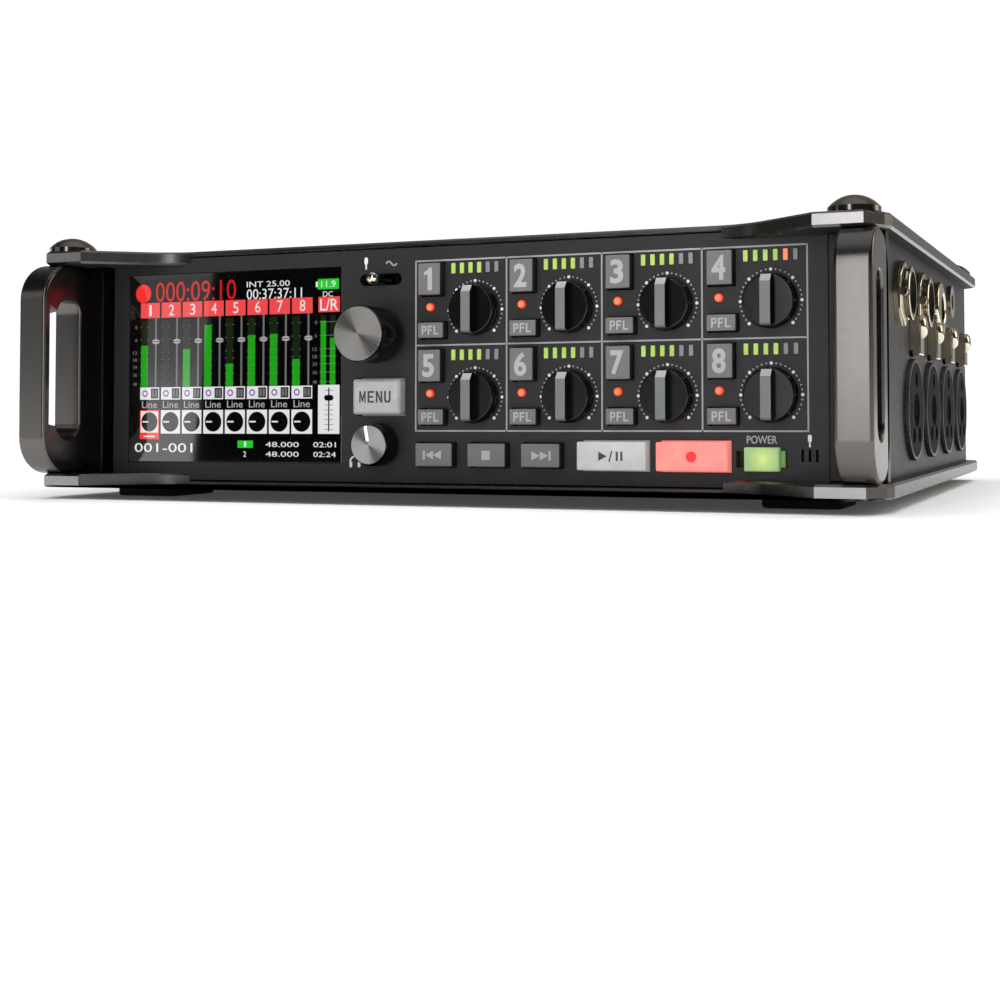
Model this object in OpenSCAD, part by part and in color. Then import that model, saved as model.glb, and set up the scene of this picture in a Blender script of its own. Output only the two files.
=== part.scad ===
// Portable eight-input field recorder.
// Origin: centre of the footprint, on the surface that the feet rest on.
// +X to the user's right, +Y to the rear, +Z up. Millimetres.

/* [Body] */
// Width across the two covers
body_w = 178.2; // [177.6:0.1:184]
// Depth from the handle bars to the covers' rear edge
body_d = 140.3; // [139:0.1:148]
// Height from the feet to the crowns of the cover screws
body_h = 54.4; // [54:0.1:58]
// Thickness of the top and bottom covers
cover_t = 2.7; // [2.4:0.1:3]
// Height of the rubber feet below the bottom cover
foot_h = 2.4; // [2:0.1:3]
// Height of the domed cover screws above the top cover
screw_h = 3.2; // [2.6:0.1:3.6]
// How far the handle bars stand in front of the panel
handle_reach = 16; // [15:0.1:18]

/* [Front panel] */
// Width of the front panel
panel_w = 154.2; // [153.6:0.1:154.4]
// Thickness of the front panel
panel_t = 2.5; // [2.3:0.1:2.6]
// Distance between neighbouring channel strips
channel_pitch = 19.5; // [19.3:0.1:19.6]
// Distance between the two rows of channel strips
row_pitch = 16.8; // [16.6:0.1:17]
// Width of the screen window
screen_w = 51.7; // [50:0.1:52]
// Height of the screen window
screen_h = 39.3; // [38:0.1:40]

/* [Controls] */
// Radius of the skirt of a channel knob
knob_r = 5; // [4.6:0.1:5.2]
// How far a channel knob stands out
knob_out = 4.4; // [4:0.1:6]
// Radius of the menu encoder's knob
encoder_r = 5.5; // [5:0.1:5.8]
// How far the encoder's knob stands out
encoder_out = 8.8; // [8:0.1:10]
// Radius of the headphone volume knob
volume_r = 4.2; // [3.8:0.1:4.4]
// How far the volume knob stands out
volume_out = 4.7; // [4:0.1:6]
// How far the keys stand out
key_out = 1.8; // [1.6:0.1:2.2]
// Gap between a key and the hole it moves in
key_gap = 0.25; // [0.2:0.05:0.3]

/* [Connectors] */
// Distance between neighbouring combo jacks along the side
jack_pitch = 24; // [23.4:0.1:24.2]
// Radius of the face of a combo jack
jack_r = 10; // [9.6:0.1:10.2]
// Radius of a 6.35 mm phone socket's bore
phone_bore_r = 3.3; // [3.25:0.05:3.4]

/* [Power] */
// Radius of an AA cell
cell_r = 7.1; // [6.9:0.05:7.15]
// Length of an AA cell's can
cell_len = 49; // [48:0.5:49.5]

/* [Hidden] */
$fn = 48;

// A hair beyond a face, so that a cut goes clean through it
cut = 1;
// Gap between faces that meet without touching
fit = 0.05;

// Main levels and planes
half_w = body_w / 2;
front_y = -body_d / 2;
rear_y = body_d / 2;
panel_y = front_y + handle_reach;
panel_back_y = panel_y + panel_t;
floor_z = foot_h + cover_t;
top_z = body_h - screw_h;
roof_z = top_z - cover_t;
inner_h = roof_z - floor_z;
// The covers hold the panel's edges in a groove of this depth
groove_d = 1.3;

// Covers, seen from above
ear_inner_x = half_w - 12.5;
ear_outer_x = half_w - 3.7;
ear_y = panel_y - 11;
ear_corner_y = panel_y - 4.6;
flare_x = half_w - 27.6;
flare_r = 16;
rear_corner = 4.8;
// Angle of the flare that leads from the recessed front edge out to an ear
flare_a = atan2(panel_y - ear_y, ear_inner_x - flare_x);
flare_tangent = flare_r * tan(flare_a / 2);

// Handle rings, seen from the side
ring_in_x = half_w - 8;
ring_out_x = half_w - 1.4;
ring_back_y = panel_y - 0.2;
ring_r = 7.6;
slot_y0 = panel_y - 12.2;
slot_y1 = panel_y - 5.8;
slot_margin_z = 7.4;
slot_r = 3;
bar_bevel = 2.9;

// Cover screws: front pair over the handles, rear pair near the corners
screw_r = 4.6;
shank_r = 1.6;
front_screw = [half_w - 6.2, panel_y - 6];
rear_screw = [half_w - 5.5, rear_y - 8];
shank_len = 4.5;
hole_r = shank_r + fit;

// Chassis walls
wall_x = half_w - 3.1;
wall_t = 2.4;
rear_wall_y = rear_y - 1.8;

// Channel strips
knob1_x = 8.1;
row1_z = 37.2;
key_w = 4.8;
key_h = 6.2;
key_dx = -9.1;
key_dz = 6.15;
pfl_w = 5.5;
pfl_h = 3;
pfl_dx = -8.8;
pfl_dz = -3.8;
led_dx = -9.6;
led_dz = 0.8;
led_r = 0.8;
meter_dz = 8.2;
meter_pitch = 1.84;
meter_w = 0.8;
meter_h = 2;

// Centre column
centre_x = -12.6;
encoder_z = 32.7;
menu_z = 20.6;
menu_w = 10.6;
menu_h = 7;
volume_z = 11.25;
toggle_z = 43.8;
toggle_slot_w = 9.4;
toggle_slot_h = 2.4;

// Screen
screen_x = -47.3;
screen_z = 27.05;

// Transport row: centre X and width of each key
transport_z = 9.3;
transport_h = 4.5;
transport_pitch = 11.2;
transport_w = 7.9;
wide_h = 5.3;
wide_w = 13.6;
play_x = 36.6;
record_x = 52.1;
power_x = 65;
power_z = 8.9;
power_w = 6.5;
power_h = 4.3;
power_slot_x = 64.7;
power_slot_w = 9.4;
power_slot_h = 3;
mic_x = 73.5;
mic_z = 9.6;

// Sprung keys: travel, retaining flange and switch behind
key_travel = 0.8;
flange_t = 0.8;
flange_over = 0.7;
board_y = panel_back_y + 4.45;
board_t = 1.6;
switch_y = panel_back_y + fit + flange_t + key_travel + 0.1;

// Pots and shafts
shaft_r = 1.5;
bushing_r = 2.6;
pot_r = 4.4;
pot_y = panel_back_y + 1;
encoder_shaft_r = 3;

// Side connectors, measured from the panel
jack1_y = panel_y + 35;
jack_z = 17.7;
jack_body_r = 9.3;
jack_depth = 20;
jack_face_x = half_w - 2.6;
latch_w = 4.6;
latch_h = 8;
latch_z = jack_z + jack_r + 0.6 + latch_h / 2;
latch_out_x = half_w - 0.9;
upper_z = 39.4;

// Connectors of the right side, upper row: Y, Z and radius
right_upper = [[panel_y + 20, upper_z, 5.4], [panel_y + 44, upper_z, 5.4],
               [panel_y + 68, upper_z, 5.6], [panel_y + 92, upper_z + 3.6, 3.2]];
socket_flange = 0.6;
bayonet_r = 4.8;
bayonet_seat_r = 6.2;
bayonet_bore_r = 4;
bayonet_sleeve_r = 2.3;
bayonet_x = half_w - 0.3;
phone_bore_len = 15;
small_bore_r = 1.8;
small_bore_len = 10;

// Connectors of the left side: balanced outputs, then card slots
left_upper = [[panel_y + 20, upper_z, 5.8], [panel_y + 45, upper_z, 5.8]];
output_wall = 1.2;
output_depth = 14;
card_y = [panel_y + 66, panel_y + 94];
card_w = 26;
card_h = 3.2;
card_depth = 26;
card_mouth_w = 24.4;
card_mouth_h = 2.2;

// Connectors of the rear
capsule_x = 50;
capsule_z = 37;
capsule_w = 24;
capsule_h = 12;
capsule_wall = 1.5;
capsule_depth = 14;
rear_round = [[50, 37, 5.2], [44, 16, 4.2]];
lock_bore_r = 3.9;
adapter_bore_r = 2.9;
usb_x = 56;
usb_z = 16;
usb_w = 8;
usb_h = 4.2;

// Battery bay
sled_w = 61;
sled_z0 = 8.6;
sled_z1 = 38.2;
sled_y0 = rear_y - 65.5;
sled_y1 = rear_y - 4.5;
sled_end = 3.5;
cell_pitch = 14.9;
bay_w = sled_w + 1.6;
sled_mid_z = (sled_z0 + sled_z1) / 2;
cell_y0 = sled_y0 + sled_end + 0.6;
cell_cap_r = 2.6;
door_over = 2.5;
pull_w = 24;
pull_h = 6;

// Centre of the knob of channel n, and sign of the side that a jack is on
function knob_x(n) = knob1_x + ((n - 1) % 4) * channel_pitch;
function knob_z(n) = row1_z - floor((n - 1) / 4) * row_pitch;
function side(n) = n <= 4 ? -1 : 1;
function jack_y(n) = jack1_y + ((n - 1) % 4) * jack_pitch;
function arc(cx, cy, r, a0, a1, steps) =
    [for (i = [0:steps]) let(a = a0 + (a1 - a0) * i / steps) [cx + r * cos(a), cy + r * sin(a)]];

// ---- building blocks ----

// Box from one corner to the opposite one
module block(low, high) {
    translate(low) cube(high - low);
}

// Box centred on X and Z, running from y0 back to y1
module bar_y(x, z, w, h, y0, y1) {
    translate([x - w / 2, y0, z - h / 2]) cube([w, y1 - y0, h]);
}

// Round bar along Y
module rod_y(x, z, r, y0, y1) {
    translate([x, y0, z]) rotate([-90, 0, 0]) cylinder(r = r, h = y1 - y0);
}

// Round bar along X
module rod_x(y, z, r, x0, x1) {
    translate([x0, y, z]) rotate([0, 90, 0]) cylinder(r = r, h = x1 - x0);
}

// Slot with round ends, w long and h high, cut along Y
module slot_y(x, z, w, h, y0, y1) {
    bar_y(x, z, w - h, h, y0, y1);
    for (s = [-1, 1])
        rod_y(x + s * (w - h) / 2, z, h / 2, y0, y1);
}

// Rectangle with round corners, from one corner to the opposite one
module round_rect(low, high, r) {
    translate([low[0] + r, low[1]]) square([high[0] - low[0] - 2 * r, high[1] - low[1]]);
    translate([low[0], low[1] + r]) square([high[0] - low[0], high[1] - low[1] - 2 * r]);
    for (x = [low[0] + r, high[0] - r])
        for (y = [low[1] + r, high[1] - r])
            translate([x, y]) circle(r);
}

// The left side is the right side mirrored
module on_side(s) {
    if (s > 0) children();
    else mirror([1, 0, 0]) children();
}

module both_sides() {
    for (s = [-1, 1])
        on_side(s) children();
}

// ---- covers ----

function right_edge() = concat(
    arc(flare_x - flare_tangent, panel_y - flare_r, flare_r, 90, 90 - flare_a, 8),
    [[ear_inner_x, ear_y], [ear_outer_x, ear_y], [half_w - 0.9, ear_corner_y - 2.2],
     [half_w, ear_corner_y], [half_w, rear_y - rear_corner], [half_w - rear_corner, rear_y]]
);

module cover_outline() {
    right = right_edge();
    last = len(right) - 1;
    polygon(concat(right, [for (i = [last:-1:0]) [-right[i][0], right[i][1]]]));
}

module screw_holes(z0, z1) {
    both_sides()
        for (p = [front_screw, rear_screw])
            translate([p[0], p[1], z0]) cylinder(r = hole_r, h = z1 - z0);
}

// Groove that takes the front panel's edge
module panel_groove(z0, z1) {
    block([-panel_w / 2 - fit, panel_y - fit, z0], [panel_w / 2 + fit, panel_back_y + fit, z1]);
}

module top_cover() {
    color([0.12, 0.12, 0.12])
        difference() {
            translate([0, 0, roof_z]) linear_extrude(cover_t) cover_outline();
            screw_holes(roof_z - cut, top_z + cut);
            panel_groove(roof_z - cut, roof_z + groove_d + fit);
        }
}

module bottom_cover() {
    color([0.12, 0.12, 0.12])
        difference() {
            translate([0, 0, foot_h]) linear_extrude(cover_t) cover_outline();
            screw_holes(foot_h - cut, floor_z + cut);
            both_sides()
                for (p = [front_screw, rear_screw])
                    translate([p[0], p[1], foot_h - cut]) cylinder(r = screw_r + fit, h = cut + 1.2);
            panel_groove(floor_z - groove_d - fit, floor_z + cut);
        }
}

// ---- chassis: side walls, rear wall, panel flanges and bay rails ----

// Openings in the right-hand wall
module right_wall_holes() {
    for (n = [5:8]) {
        rod_x(jack_y(n), jack_z, jack_body_r + fit, wall_x - wall_t - cut, wall_x + cut);
        block([wall_x - wall_t - cut, jack_y(n) - latch_w / 2 - 0.2, latch_z - latch_h / 2 - 0.2],
              [wall_x + cut, jack_y(n) + latch_w / 2 + 0.2, latch_z + latch_h / 2 + 0.2]);
    }
}

module wall_pair_holes() {
    both_sides() right_wall_holes();
    // right side: time-code pair, headphones, small output
    for (p = right_upper)
        rod_x(p[0], p[1], p[2] + fit, wall_x - wall_t - cut, wall_x + cut);
    // left side: balanced outputs and card slots
    mirror([1, 0, 0]) {
        for (p = left_upper)
            rod_x(p[0], p[1], p[2] + fit, wall_x - wall_t - cut, wall_x + cut);
        for (y = card_y)
            block([wall_x - wall_t - cut, y - card_w / 2 - fit, upper_z - card_h / 2 - fit],
                  [wall_x + cut, y + card_w / 2 + fit, upper_z + card_h / 2 + fit]);
    }
}

module rear_wall_holes() {
    block([-bay_w / 2, rear_wall_y - wall_t - cut, sled_z0 - 0.6],
          [bay_w / 2, rear_wall_y + cut, sled_z1 + 0.6]);
    bar_y(-capsule_x, capsule_z, capsule_w + 2 * fit, capsule_h + 2 * fit,
          rear_wall_y - wall_t - cut, rear_wall_y + cut);
    for (p = rear_round)
        rod_y(p[0], p[1], p[2] + fit, rear_wall_y - wall_t - cut, rear_wall_y + cut);
    bar_y(usb_x, usb_z, usb_w + 2 * fit, usb_h + 2 * fit,
          rear_wall_y - wall_t - cut, rear_wall_y + cut);
}

module chassis() {
    color([0.1, 0.1, 0.1])
        difference() {
            union() {
                both_sides() {
                    block([wall_x - wall_t, panel_y, floor_z], [wall_x, rear_wall_y, roof_z]);
                    block([ring_in_x - 5, panel_back_y + fit, floor_z],
                          [wall_x, panel_back_y + 2.2, roof_z]);
                    block([bay_w / 2, sled_y0, floor_z], [bay_w / 2 + 2, rear_wall_y, sled_z0 + 5]);
                    block([bay_w / 2 - 4, sled_y0, floor_z], [bay_w / 2, rear_wall_y, sled_z0 - 0.6]);
                    block([wall_x - 8, rear_screw[1] - 5, roof_z - 8],
                          [wall_x, rear_wall_y, roof_z]);
                    block([wall_x - 8, rear_screw[1] - 5, floor_z],
                          [wall_x, rear_wall_y, floor_z + 3]);
                }
                block([-wall_x, rear_wall_y - wall_t, floor_z], [wall_x, rear_wall_y, roof_z]);
            }
            wall_pair_holes();
            rear_wall_holes();
            both_sides()
                for (z = [floor_z - cut, roof_z - shank_len])
                    translate([rear_screw[0], rear_screw[1], z])
                        cylinder(r = hole_r, h = shank_len + cut);
        }
}

// ---- front panel ----

module key_hole(x, z, w, h) {
    bar_y(x, z, w + 2 * key_gap, h + 2 * key_gap, panel_y - cut, panel_back_y + cut);
}

module shaft_hole(x, z, r) {
    rod_y(x, z, r, panel_y - cut, panel_back_y + cut);
}

module channel_holes(n) {
    x = knob_x(n);
    z = knob_z(n);
    shaft_hole(x, z, bushing_r + 0.3);
    key_hole(x + key_dx, z + key_dz, key_w, key_h);
    key_hole(x + pfl_dx, z + pfl_dz, pfl_w, pfl_h);
    shaft_hole(x + led_dx, z + led_dz, led_r + fit);
    for (i = [0:5])
        bar_y(x + (i - 2.5) * meter_pitch, z + meter_dz, meter_w + 2 * fit, meter_h + 2 * fit,
              panel_y - cut, panel_back_y + cut);
}

module front_panel() {
    color([0.2, 0.2, 0.2])
        difference() {
            block([-panel_w / 2, panel_y, floor_z - groove_d], [panel_w / 2, panel_back_y, roof_z + groove_d]);
            for (n = [1:8])
                channel_holes(n);
            bar_y(screen_x, screen_z, screen_w + 2 * fit, screen_h + 2 * fit,
                  panel_y - cut, panel_back_y + cut);
            key_hole(centre_x, menu_z, menu_w, menu_h);
            shaft_hole(centre_x, encoder_z, encoder_shaft_r + 0.4);
            shaft_hole(centre_x, volume_z, bushing_r + 0.3);
            slot_y(centre_x, toggle_z, toggle_slot_w, toggle_slot_h, panel_y - cut, panel_back_y + cut);
            for (i = [0:2])
                key_hole(i * transport_pitch, transport_z, transport_w, transport_h);
            key_hole(play_x, transport_z, wide_w, wide_h);
            key_hole(record_x, transport_z, wide_w, wide_h);
            bar_y(power_slot_x, power_z, power_slot_w, power_slot_h, panel_y - cut, panel_back_y + cut);
            for (i = [-1:1])
                bar_y(mic_x + i * 1.3, mic_z, 0.5, 2.2, panel_y - cut, panel_back_y + cut);
        }
}

// ---- handles ----

// Side view of the ring: first coordinate is Y, second is Z
module ring_profile() {
    difference() {
        round_rect([front_y, floor_z], [ring_back_y, roof_z], ring_r);
        round_rect([slot_y0, floor_z + slot_margin_z], [slot_y1, roof_z - slot_margin_z], slot_r);
    }
}

module handle() {
    color([0.14, 0.14, 0.14])
        difference() {
            union() {
                translate([ring_in_x, 0, 0]) rotate([90, 0, 90]) linear_extrude(ring_out_x - ring_in_x)
                    ring_profile();
                block([ring_in_x - 3.6, panel_y - 3, floor_z], [ring_out_x, ring_back_y, roof_z]);
            }
            // bevel along the back of the bar, which opens the slot to a strap
            translate([ring_in_x, slot_y0, floor_z + slot_margin_z])
                linear_extrude(inner_h - 2 * slot_margin_z)
                    polygon([[-cut, cut], [-cut, -bar_bevel - cut], [bar_bevel + cut, cut]]);
            for (z = [floor_z - cut, roof_z - shank_len])
                translate([front_screw[0], front_screw[1], z]) cylinder(r = hole_r, h = shank_len + cut);
        }
}

module right_handle() {
    handle();
}

module left_handle() {
    mirror([1, 0, 0]) handle();
}

// ---- display ----

module display_module() {
    glass_t = 1.2;
    can_y = panel_y + 0.1 + glass_t;
    color([0.02, 0.02, 0.03])
        bar_y(screen_x, screen_z, screen_w, screen_h, panel_y + 0.1, can_y);
    color([0.6, 0.6, 0.62])
        bar_y(screen_x, screen_z, screen_w - 1, screen_h - 1, can_y, board_y - 0.6);
    color([0.1, 0.35, 0.15])
        bar_y(screen_x, screen_z, screen_w, screen_h, board_y - 0.6, board_y + 1);
}

// ---- connectors ----

// One combo jack on the right side: a phone socket with three pin sockets round it
module combo_jack(y) {
    difference() {
        union() {
            rod_x(y, jack_z, jack_r, wall_x + fit, jack_face_x);
            rod_x(y, jack_z, jack_body_r, jack_face_x - jack_depth, wall_x + cut);
        }
        rod_x(y, jack_z, phone_bore_r, jack_face_x - phone_bore_len, jack_face_x + cut);
        for (a = [-55, 90, 235])
            translate([0, 6 * cos(a), 6 * sin(a)])
                rod_x(y, jack_z, 1.5, jack_face_x - 8, jack_face_x + cut);
    }
}

module combo_jacks() {
    color([0.06, 0.06, 0.06])
        for (n = [1:8])
            on_side(side(n)) combo_jack(jack_y(n));
}

// Release tab of the combo jack that it stands over
module latch(n) {
    color([0.75, 0.7, 0.58])
        on_side(side(n)) {
            block([wall_x - 6, jack_y(n) - latch_w / 2, latch_z - latch_h / 2 + 1],
                  [wall_x + 0.6, jack_y(n) + latch_w / 2, latch_z + latch_h / 2 - 1]);
            block([wall_x + 0.6, jack_y(n) - latch_w / 2, latch_z - latch_h / 2],
                  [latch_out_x, jack_y(n) + latch_w / 2, latch_z + latch_h / 2]);
        }
}

// Round socket through the right wall: flange outside, body inside, bore in the middle
module round_socket(p, out_x, bore_r, bore_len, depth) {
    difference() {
        union() {
            rod_x(p[0], p[1], p[2], wall_x - depth, wall_x + fit);
            rod_x(p[0], p[1], p[2] + socket_flange, wall_x + fit, out_x);
        }
        rod_x(p[0], p[1], bore_r, out_x - bore_len, out_x + cut);
    }
}

// Bayonet socket: hexagon seat, barrel with two lugs, sleeve and centre contact
module bayonet_socket(p) {
    difference() {
        union() {
            rod_x(p[0], p[1], p[2], wall_x - 12, wall_x + fit);
            rod_x(p[0], p[1], bayonet_seat_r, wall_x + fit, wall_x + 0.9);
            rod_x(p[0], p[1], bayonet_r, wall_x, bayonet_x);
            translate([bayonet_x - 1, p[0], p[1]])
                rotate([90, 0, 0]) cylinder(r = 0.8, h = 2 * bayonet_r + 1.8, center = true);
        }
        rod_x(p[0], p[1], bayonet_bore_r, wall_x - 8, half_w + cut);
    }
    difference() {
        rod_x(p[0], p[1], bayonet_sleeve_r, wall_x - 8, half_w - 1);
        rod_x(p[0], p[1], 0.7, wall_x - 4, half_w);
    }
}

module right_jacks() {
    color([0.75, 0.7, 0.58]) {
        bayonet_socket(right_upper[0]);
        bayonet_socket(right_upper[1]);
        round_socket(right_upper[2], wall_x + 1.4, phone_bore_r, phone_bore_len, phone_bore_len + 3);
        round_socket(right_upper[3], wall_x + 0.9, small_bore_r, small_bore_len, small_bore_len + 2);
    }
}

// Small three-pin balanced output: a collar round three pins
module balanced_output(p) {
    difference() {
        union() {
            rod_x(p[0], p[1], p[2], wall_x - output_depth, wall_x + fit);
            rod_x(p[0], p[1], p[2] + socket_flange, wall_x + fit, wall_x + output_wall);
        }
        rod_x(p[0], p[1], p[2] - output_wall, wall_x - output_depth + 5, wall_x + 2);
    }
    for (a = [30, 150, 270])
        translate([0, 2.3 * cos(a), 2.3 * sin(a)])
            rod_x(p[0], p[1], 0.5, wall_x - output_depth + 4, wall_x - 2);
}

module left_jacks() {
    mirror([1, 0, 0]) {
        color([0.7, 0.7, 0.7])
            for (p = left_upper)
                balanced_output(p);
        color([0.05, 0.05, 0.05])
            for (y = card_y)
                difference() {
                    block([wall_x - card_depth, y - card_w / 2, upper_z - card_h / 2],
                          [wall_x + 0.2, y + card_w / 2, upper_z + card_h / 2]);
                    block([wall_x - card_depth + 2, y - card_mouth_w / 2, upper_z - card_mouth_h / 2],
                          [wall_x + cut, y + card_mouth_w / 2, upper_z + card_mouth_h / 2]);
                }
    }
}

module rear_sockets() {
    color([0.05, 0.05, 0.05]) {
        // capsule socket: shroud round a contact tongue
        difference() {
            bar_y(-capsule_x, capsule_z, capsule_w, capsule_h,
                  rear_wall_y - capsule_depth, rear_wall_y + 0.4);
            bar_y(-capsule_x, capsule_z, capsule_w - 2 * capsule_wall, capsule_h - 2 * capsule_wall,
                  rear_wall_y - capsule_depth + 2, rear_wall_y + cut);
        }
        bar_y(-capsule_x, capsule_z, capsule_w - 8, 1.6,
              rear_wall_y - capsule_depth + 2, rear_wall_y - 2);
        // locking four-pin power socket
        difference() {
            rod_y(rear_round[0][0], rear_round[0][1], rear_round[0][2], rear_wall_y - 12, rear_wall_y + 1);
            rod_y(rear_round[0][0], rear_round[0][1], lock_bore_r, rear_wall_y - 8, rear_wall_y + 2);
        }
        for (dx = [-1.3, 1.3])
            for (dz = [-1.3, 1.3])
                rod_y(rear_round[0][0] + dx, rear_round[0][1] + dz, 0.4, rear_wall_y - 8, rear_wall_y - 1.5);
        // adapter socket with its centre pin
        difference() {
            rod_y(rear_round[1][0], rear_round[1][1], rear_round[1][2], rear_wall_y - 11, rear_wall_y + 0.4);
            rod_y(rear_round[1][0], rear_round[1][1], adapter_bore_r, rear_wall_y - 9.5, rear_wall_y + cut);
        }
        rod_y(rear_round[1][0], rear_round[1][1], 0.9, rear_wall_y - 9.5, rear_wall_y - 1);
        // data socket
        difference() {
            bar_y(usb_x, usb_z, usb_w, usb_h, rear_wall_y - 8, rear_wall_y + 0.2);
            bar_y(usb_x, usb_z, usb_w - 1, usb_h - 1, rear_wall_y - 7, rear_wall_y + cut);
        }
        bar_y(usb_x, usb_z, usb_w - 3, 0.9, rear_wall_y - 7, rear_wall_y - 1);
    }
}

// ---- fasteners and feet ----

// Domed slotted head on a short shank, and flat heads let into the bottom cover
module dome_screw(p, turn) {
    dome_r = (screw_r * screw_r + pow(screw_h - 1, 2)) / (2 * (screw_h - 1));
    translate([p[0], p[1], top_z])
        difference() {
            union() {
                translate([0, 0, fit]) cylinder(r = screw_r, h = 1 - fit);
                intersection() {
                    translate([0, 0, screw_h - dome_r]) sphere(r = dome_r, $fn = 64);
                    translate([0, 0, 1]) cylinder(r = screw_r, h = screw_h);
                }
                translate([0, 0, -cover_t - shank_len + 0.2])
                    cylinder(r = shank_r, h = cover_t + shank_len);
            }
            rotate([0, 0, turn]) translate([-screw_r - cut, -0.6, screw_h - 1.5])
                cube([2 * screw_r + 2 * cut, 1.2, 2]);
        }
}

module flat_screw(p) {
    translate([p[0], p[1], foot_h])
        difference() {
            union() {
                cylinder(r = screw_r - 0.6, h = 1.1);
                cylinder(r = shank_r, h = cover_t + shank_len - 1.2);
            }
            translate([0, 0, -cut]) cylinder(r = 1.5, h = cut + 0.9, $fn = 6);
        }
}

module cover_screws() {
    color([0.7, 0.66, 0.56]) {
        dome_screw([front_screw[0], front_screw[1]], 20);
        dome_screw([rear_screw[0], rear_screw[1]], -35);
        dome_screw([-front_screw[0], front_screw[1]], 70);
        dome_screw([-rear_screw[0], rear_screw[1]], 10);
        both_sides()
            for (p = [front_screw, rear_screw])
                flat_screw(p);
    }
}

module rubber_feet() {
    foot = 15;
    foot_x = half_w - 18;
    color([0.05, 0.05, 0.05])
        both_sides()
            for (y = [panel_y + 10, rear_y - 12])
                translate([foot_x, y, 0]) linear_extrude(foot_h)
                    round_rect([-foot / 2, -foot / 2], [foot / 2, foot / 2], 2);
}

// ---- electronics ----

module main_board() {
    board_z = sled_z1 + 3;
    color([0.05, 0.3, 0.15])
        block([-56, board_y + 8, board_z], [56, rear_y - 22, board_z + board_t]);
    color([0.08, 0.08, 0.08])
        for (p = [[-22, -12, 12], [4, -14, 9], [26, 10, 14]])
            translate([p[0], p[1], board_z + board_t]) cube([p[2], p[2], 1.4]);
    color([0.75, 0.7, 0.5])
        for (x = [-52, 52])
            for (y = [board_y + 12, rear_y - 26])
                translate([x, y, board_z + board_t]) cylinder(r = 2.5, h = roof_z - board_z - board_t);
}

module pot(x, z, bore_r) {
    difference() {
        union() {
            rod_y(x, z, pot_r, pot_y, board_y);
            rod_y(x, z, bushing_r, pot_y - 1.6, pot_y + cut);
        }
        rod_y(x, z, bore_r, pot_y - 3, board_y + cut);
    }
}

module key_switch(x, z) {
    bar_y(x, z, 2.6, 2.6, switch_y, board_y);
}

// Two cheeks that hold the toggle's barrel, joined behind it
module toggle_frame() {
    for (s = [-1, 1])
        bar_y(centre_x, toggle_z + s * 2.1, 5, 1.2, panel_back_y + 0.3, board_y);
}

// Board with pots, key switches, meter lights and status lights
module control_board() {
    color([0.05, 0.3, 0.15])
        difference() {
            block([-19.5, board_y, floor_z + 1.5], [75.5, board_y + board_t, roof_z - 1.5]);
            for (n = [1:8])
                rod_y(knob_x(n), knob_z(n), 2, board_y - cut, board_y + board_t + cut);
            rod_y(centre_x, encoder_z, 3.4, board_y - cut, board_y + board_t + cut);
            rod_y(centre_x, volume_z, 2, board_y - cut, board_y + board_t + cut);
        }
    color([0.3, 0.3, 0.32]) {
        for (n = [1:8])
            pot(knob_x(n), knob_z(n), shaft_r + 0.06);
        pot(centre_x, volume_z, shaft_r + 0.06);
        difference() {
            rod_y(centre_x, encoder_z, 5.2, panel_back_y + 1, board_y);
            rod_y(centre_x, encoder_z, encoder_shaft_r + 0.06, panel_back_y, board_y + cut);
        }
        for (n = [1:8]) {
            key_switch(knob_x(n) + key_dx, knob_z(n) + key_dz);
            bar_y(knob_x(n) + pfl_dx, knob_z(n) + pfl_dz, 2.6, 1.8, switch_y, board_y);
        }
        key_switch(centre_x, menu_z);
        for (i = [0:2])
            key_switch(i * transport_pitch, transport_z);
        key_switch(play_x, transport_z);
        key_switch(record_x, transport_z);
        toggle_frame();
        rod_y(mic_x, mic_z, 2, panel_back_y + 0.4, board_y);
    }
    color([0.9, 0.3, 0.1])
        for (n = [1:8])
            rod_y(knob_x(n) + led_dx, knob_z(n) + led_dz, led_r, panel_y - 0.4, board_y);
    color([0.6, 0.8, 0.2])
        for (n = [1:8])
            for (i = [0:5])
                bar_y(knob_x(n) + (i - 2.5) * meter_pitch, knob_z(n) + meter_dz, meter_w, meter_h,
                      panel_y - 0.1, board_y);
}

// ---- controls ----

// Channel knob: skirt, body, raised pointer bar and shaft
module knob(n) {
    x = knob_x(n);
    z = knob_z(n);
    color([0.04, 0.04, 0.04]) {
        rod_y(x, z, knob_r, panel_y - 1.4, panel_y - 0.25);
        rod_y(x, z, knob_r - 0.7, panel_y - 2.3, panel_y - 1);
        rod_y(x, z, shaft_r, panel_y - 1, board_y + 1);
    }
    color([0.6, 0.62, 0.62])
        intersection() {
            bar_y(x, z, 2, 2 * knob_r, panel_y - knob_out, panel_y - 1);
            rod_y(x, z, knob_r - 0.5, panel_y - knob_out, panel_y - 1);
        }
}

// Sprung key: cap, neck through the panel and retaining flange
module key(x, z, w, h) {
    bar_y(x, z, w, h, panel_y - key_out, panel_back_y + fit);
    bar_y(x, z, w + flange_over, h + flange_over, panel_back_y + fit, panel_back_y + fit + flange_t);
}

module track_key(n) {
    color([0.42, 0.4, 0.39]) key(knob_x(n) + key_dx, knob_z(n) + key_dz, key_w, key_h);
}

module pfl_key(n) {
    color([0.42, 0.4, 0.39]) key(knob_x(n) + pfl_dx, knob_z(n) + pfl_dz, pfl_w, pfl_h);
}

module menu_key() {
    color([0.75, 0.75, 0.75]) key(centre_x, menu_z, menu_w, menu_h);
}

module rewind_key() {
    color([0.42, 0.4, 0.39]) key(0, transport_z, transport_w, transport_h);
}

module stop_key() {
    color([0.42, 0.4, 0.39]) key(transport_pitch, transport_z, transport_w, transport_h);
}

module forward_key() {
    color([0.42, 0.4, 0.39]) key(2 * transport_pitch, transport_z, transport_w, transport_h);
}

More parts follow.
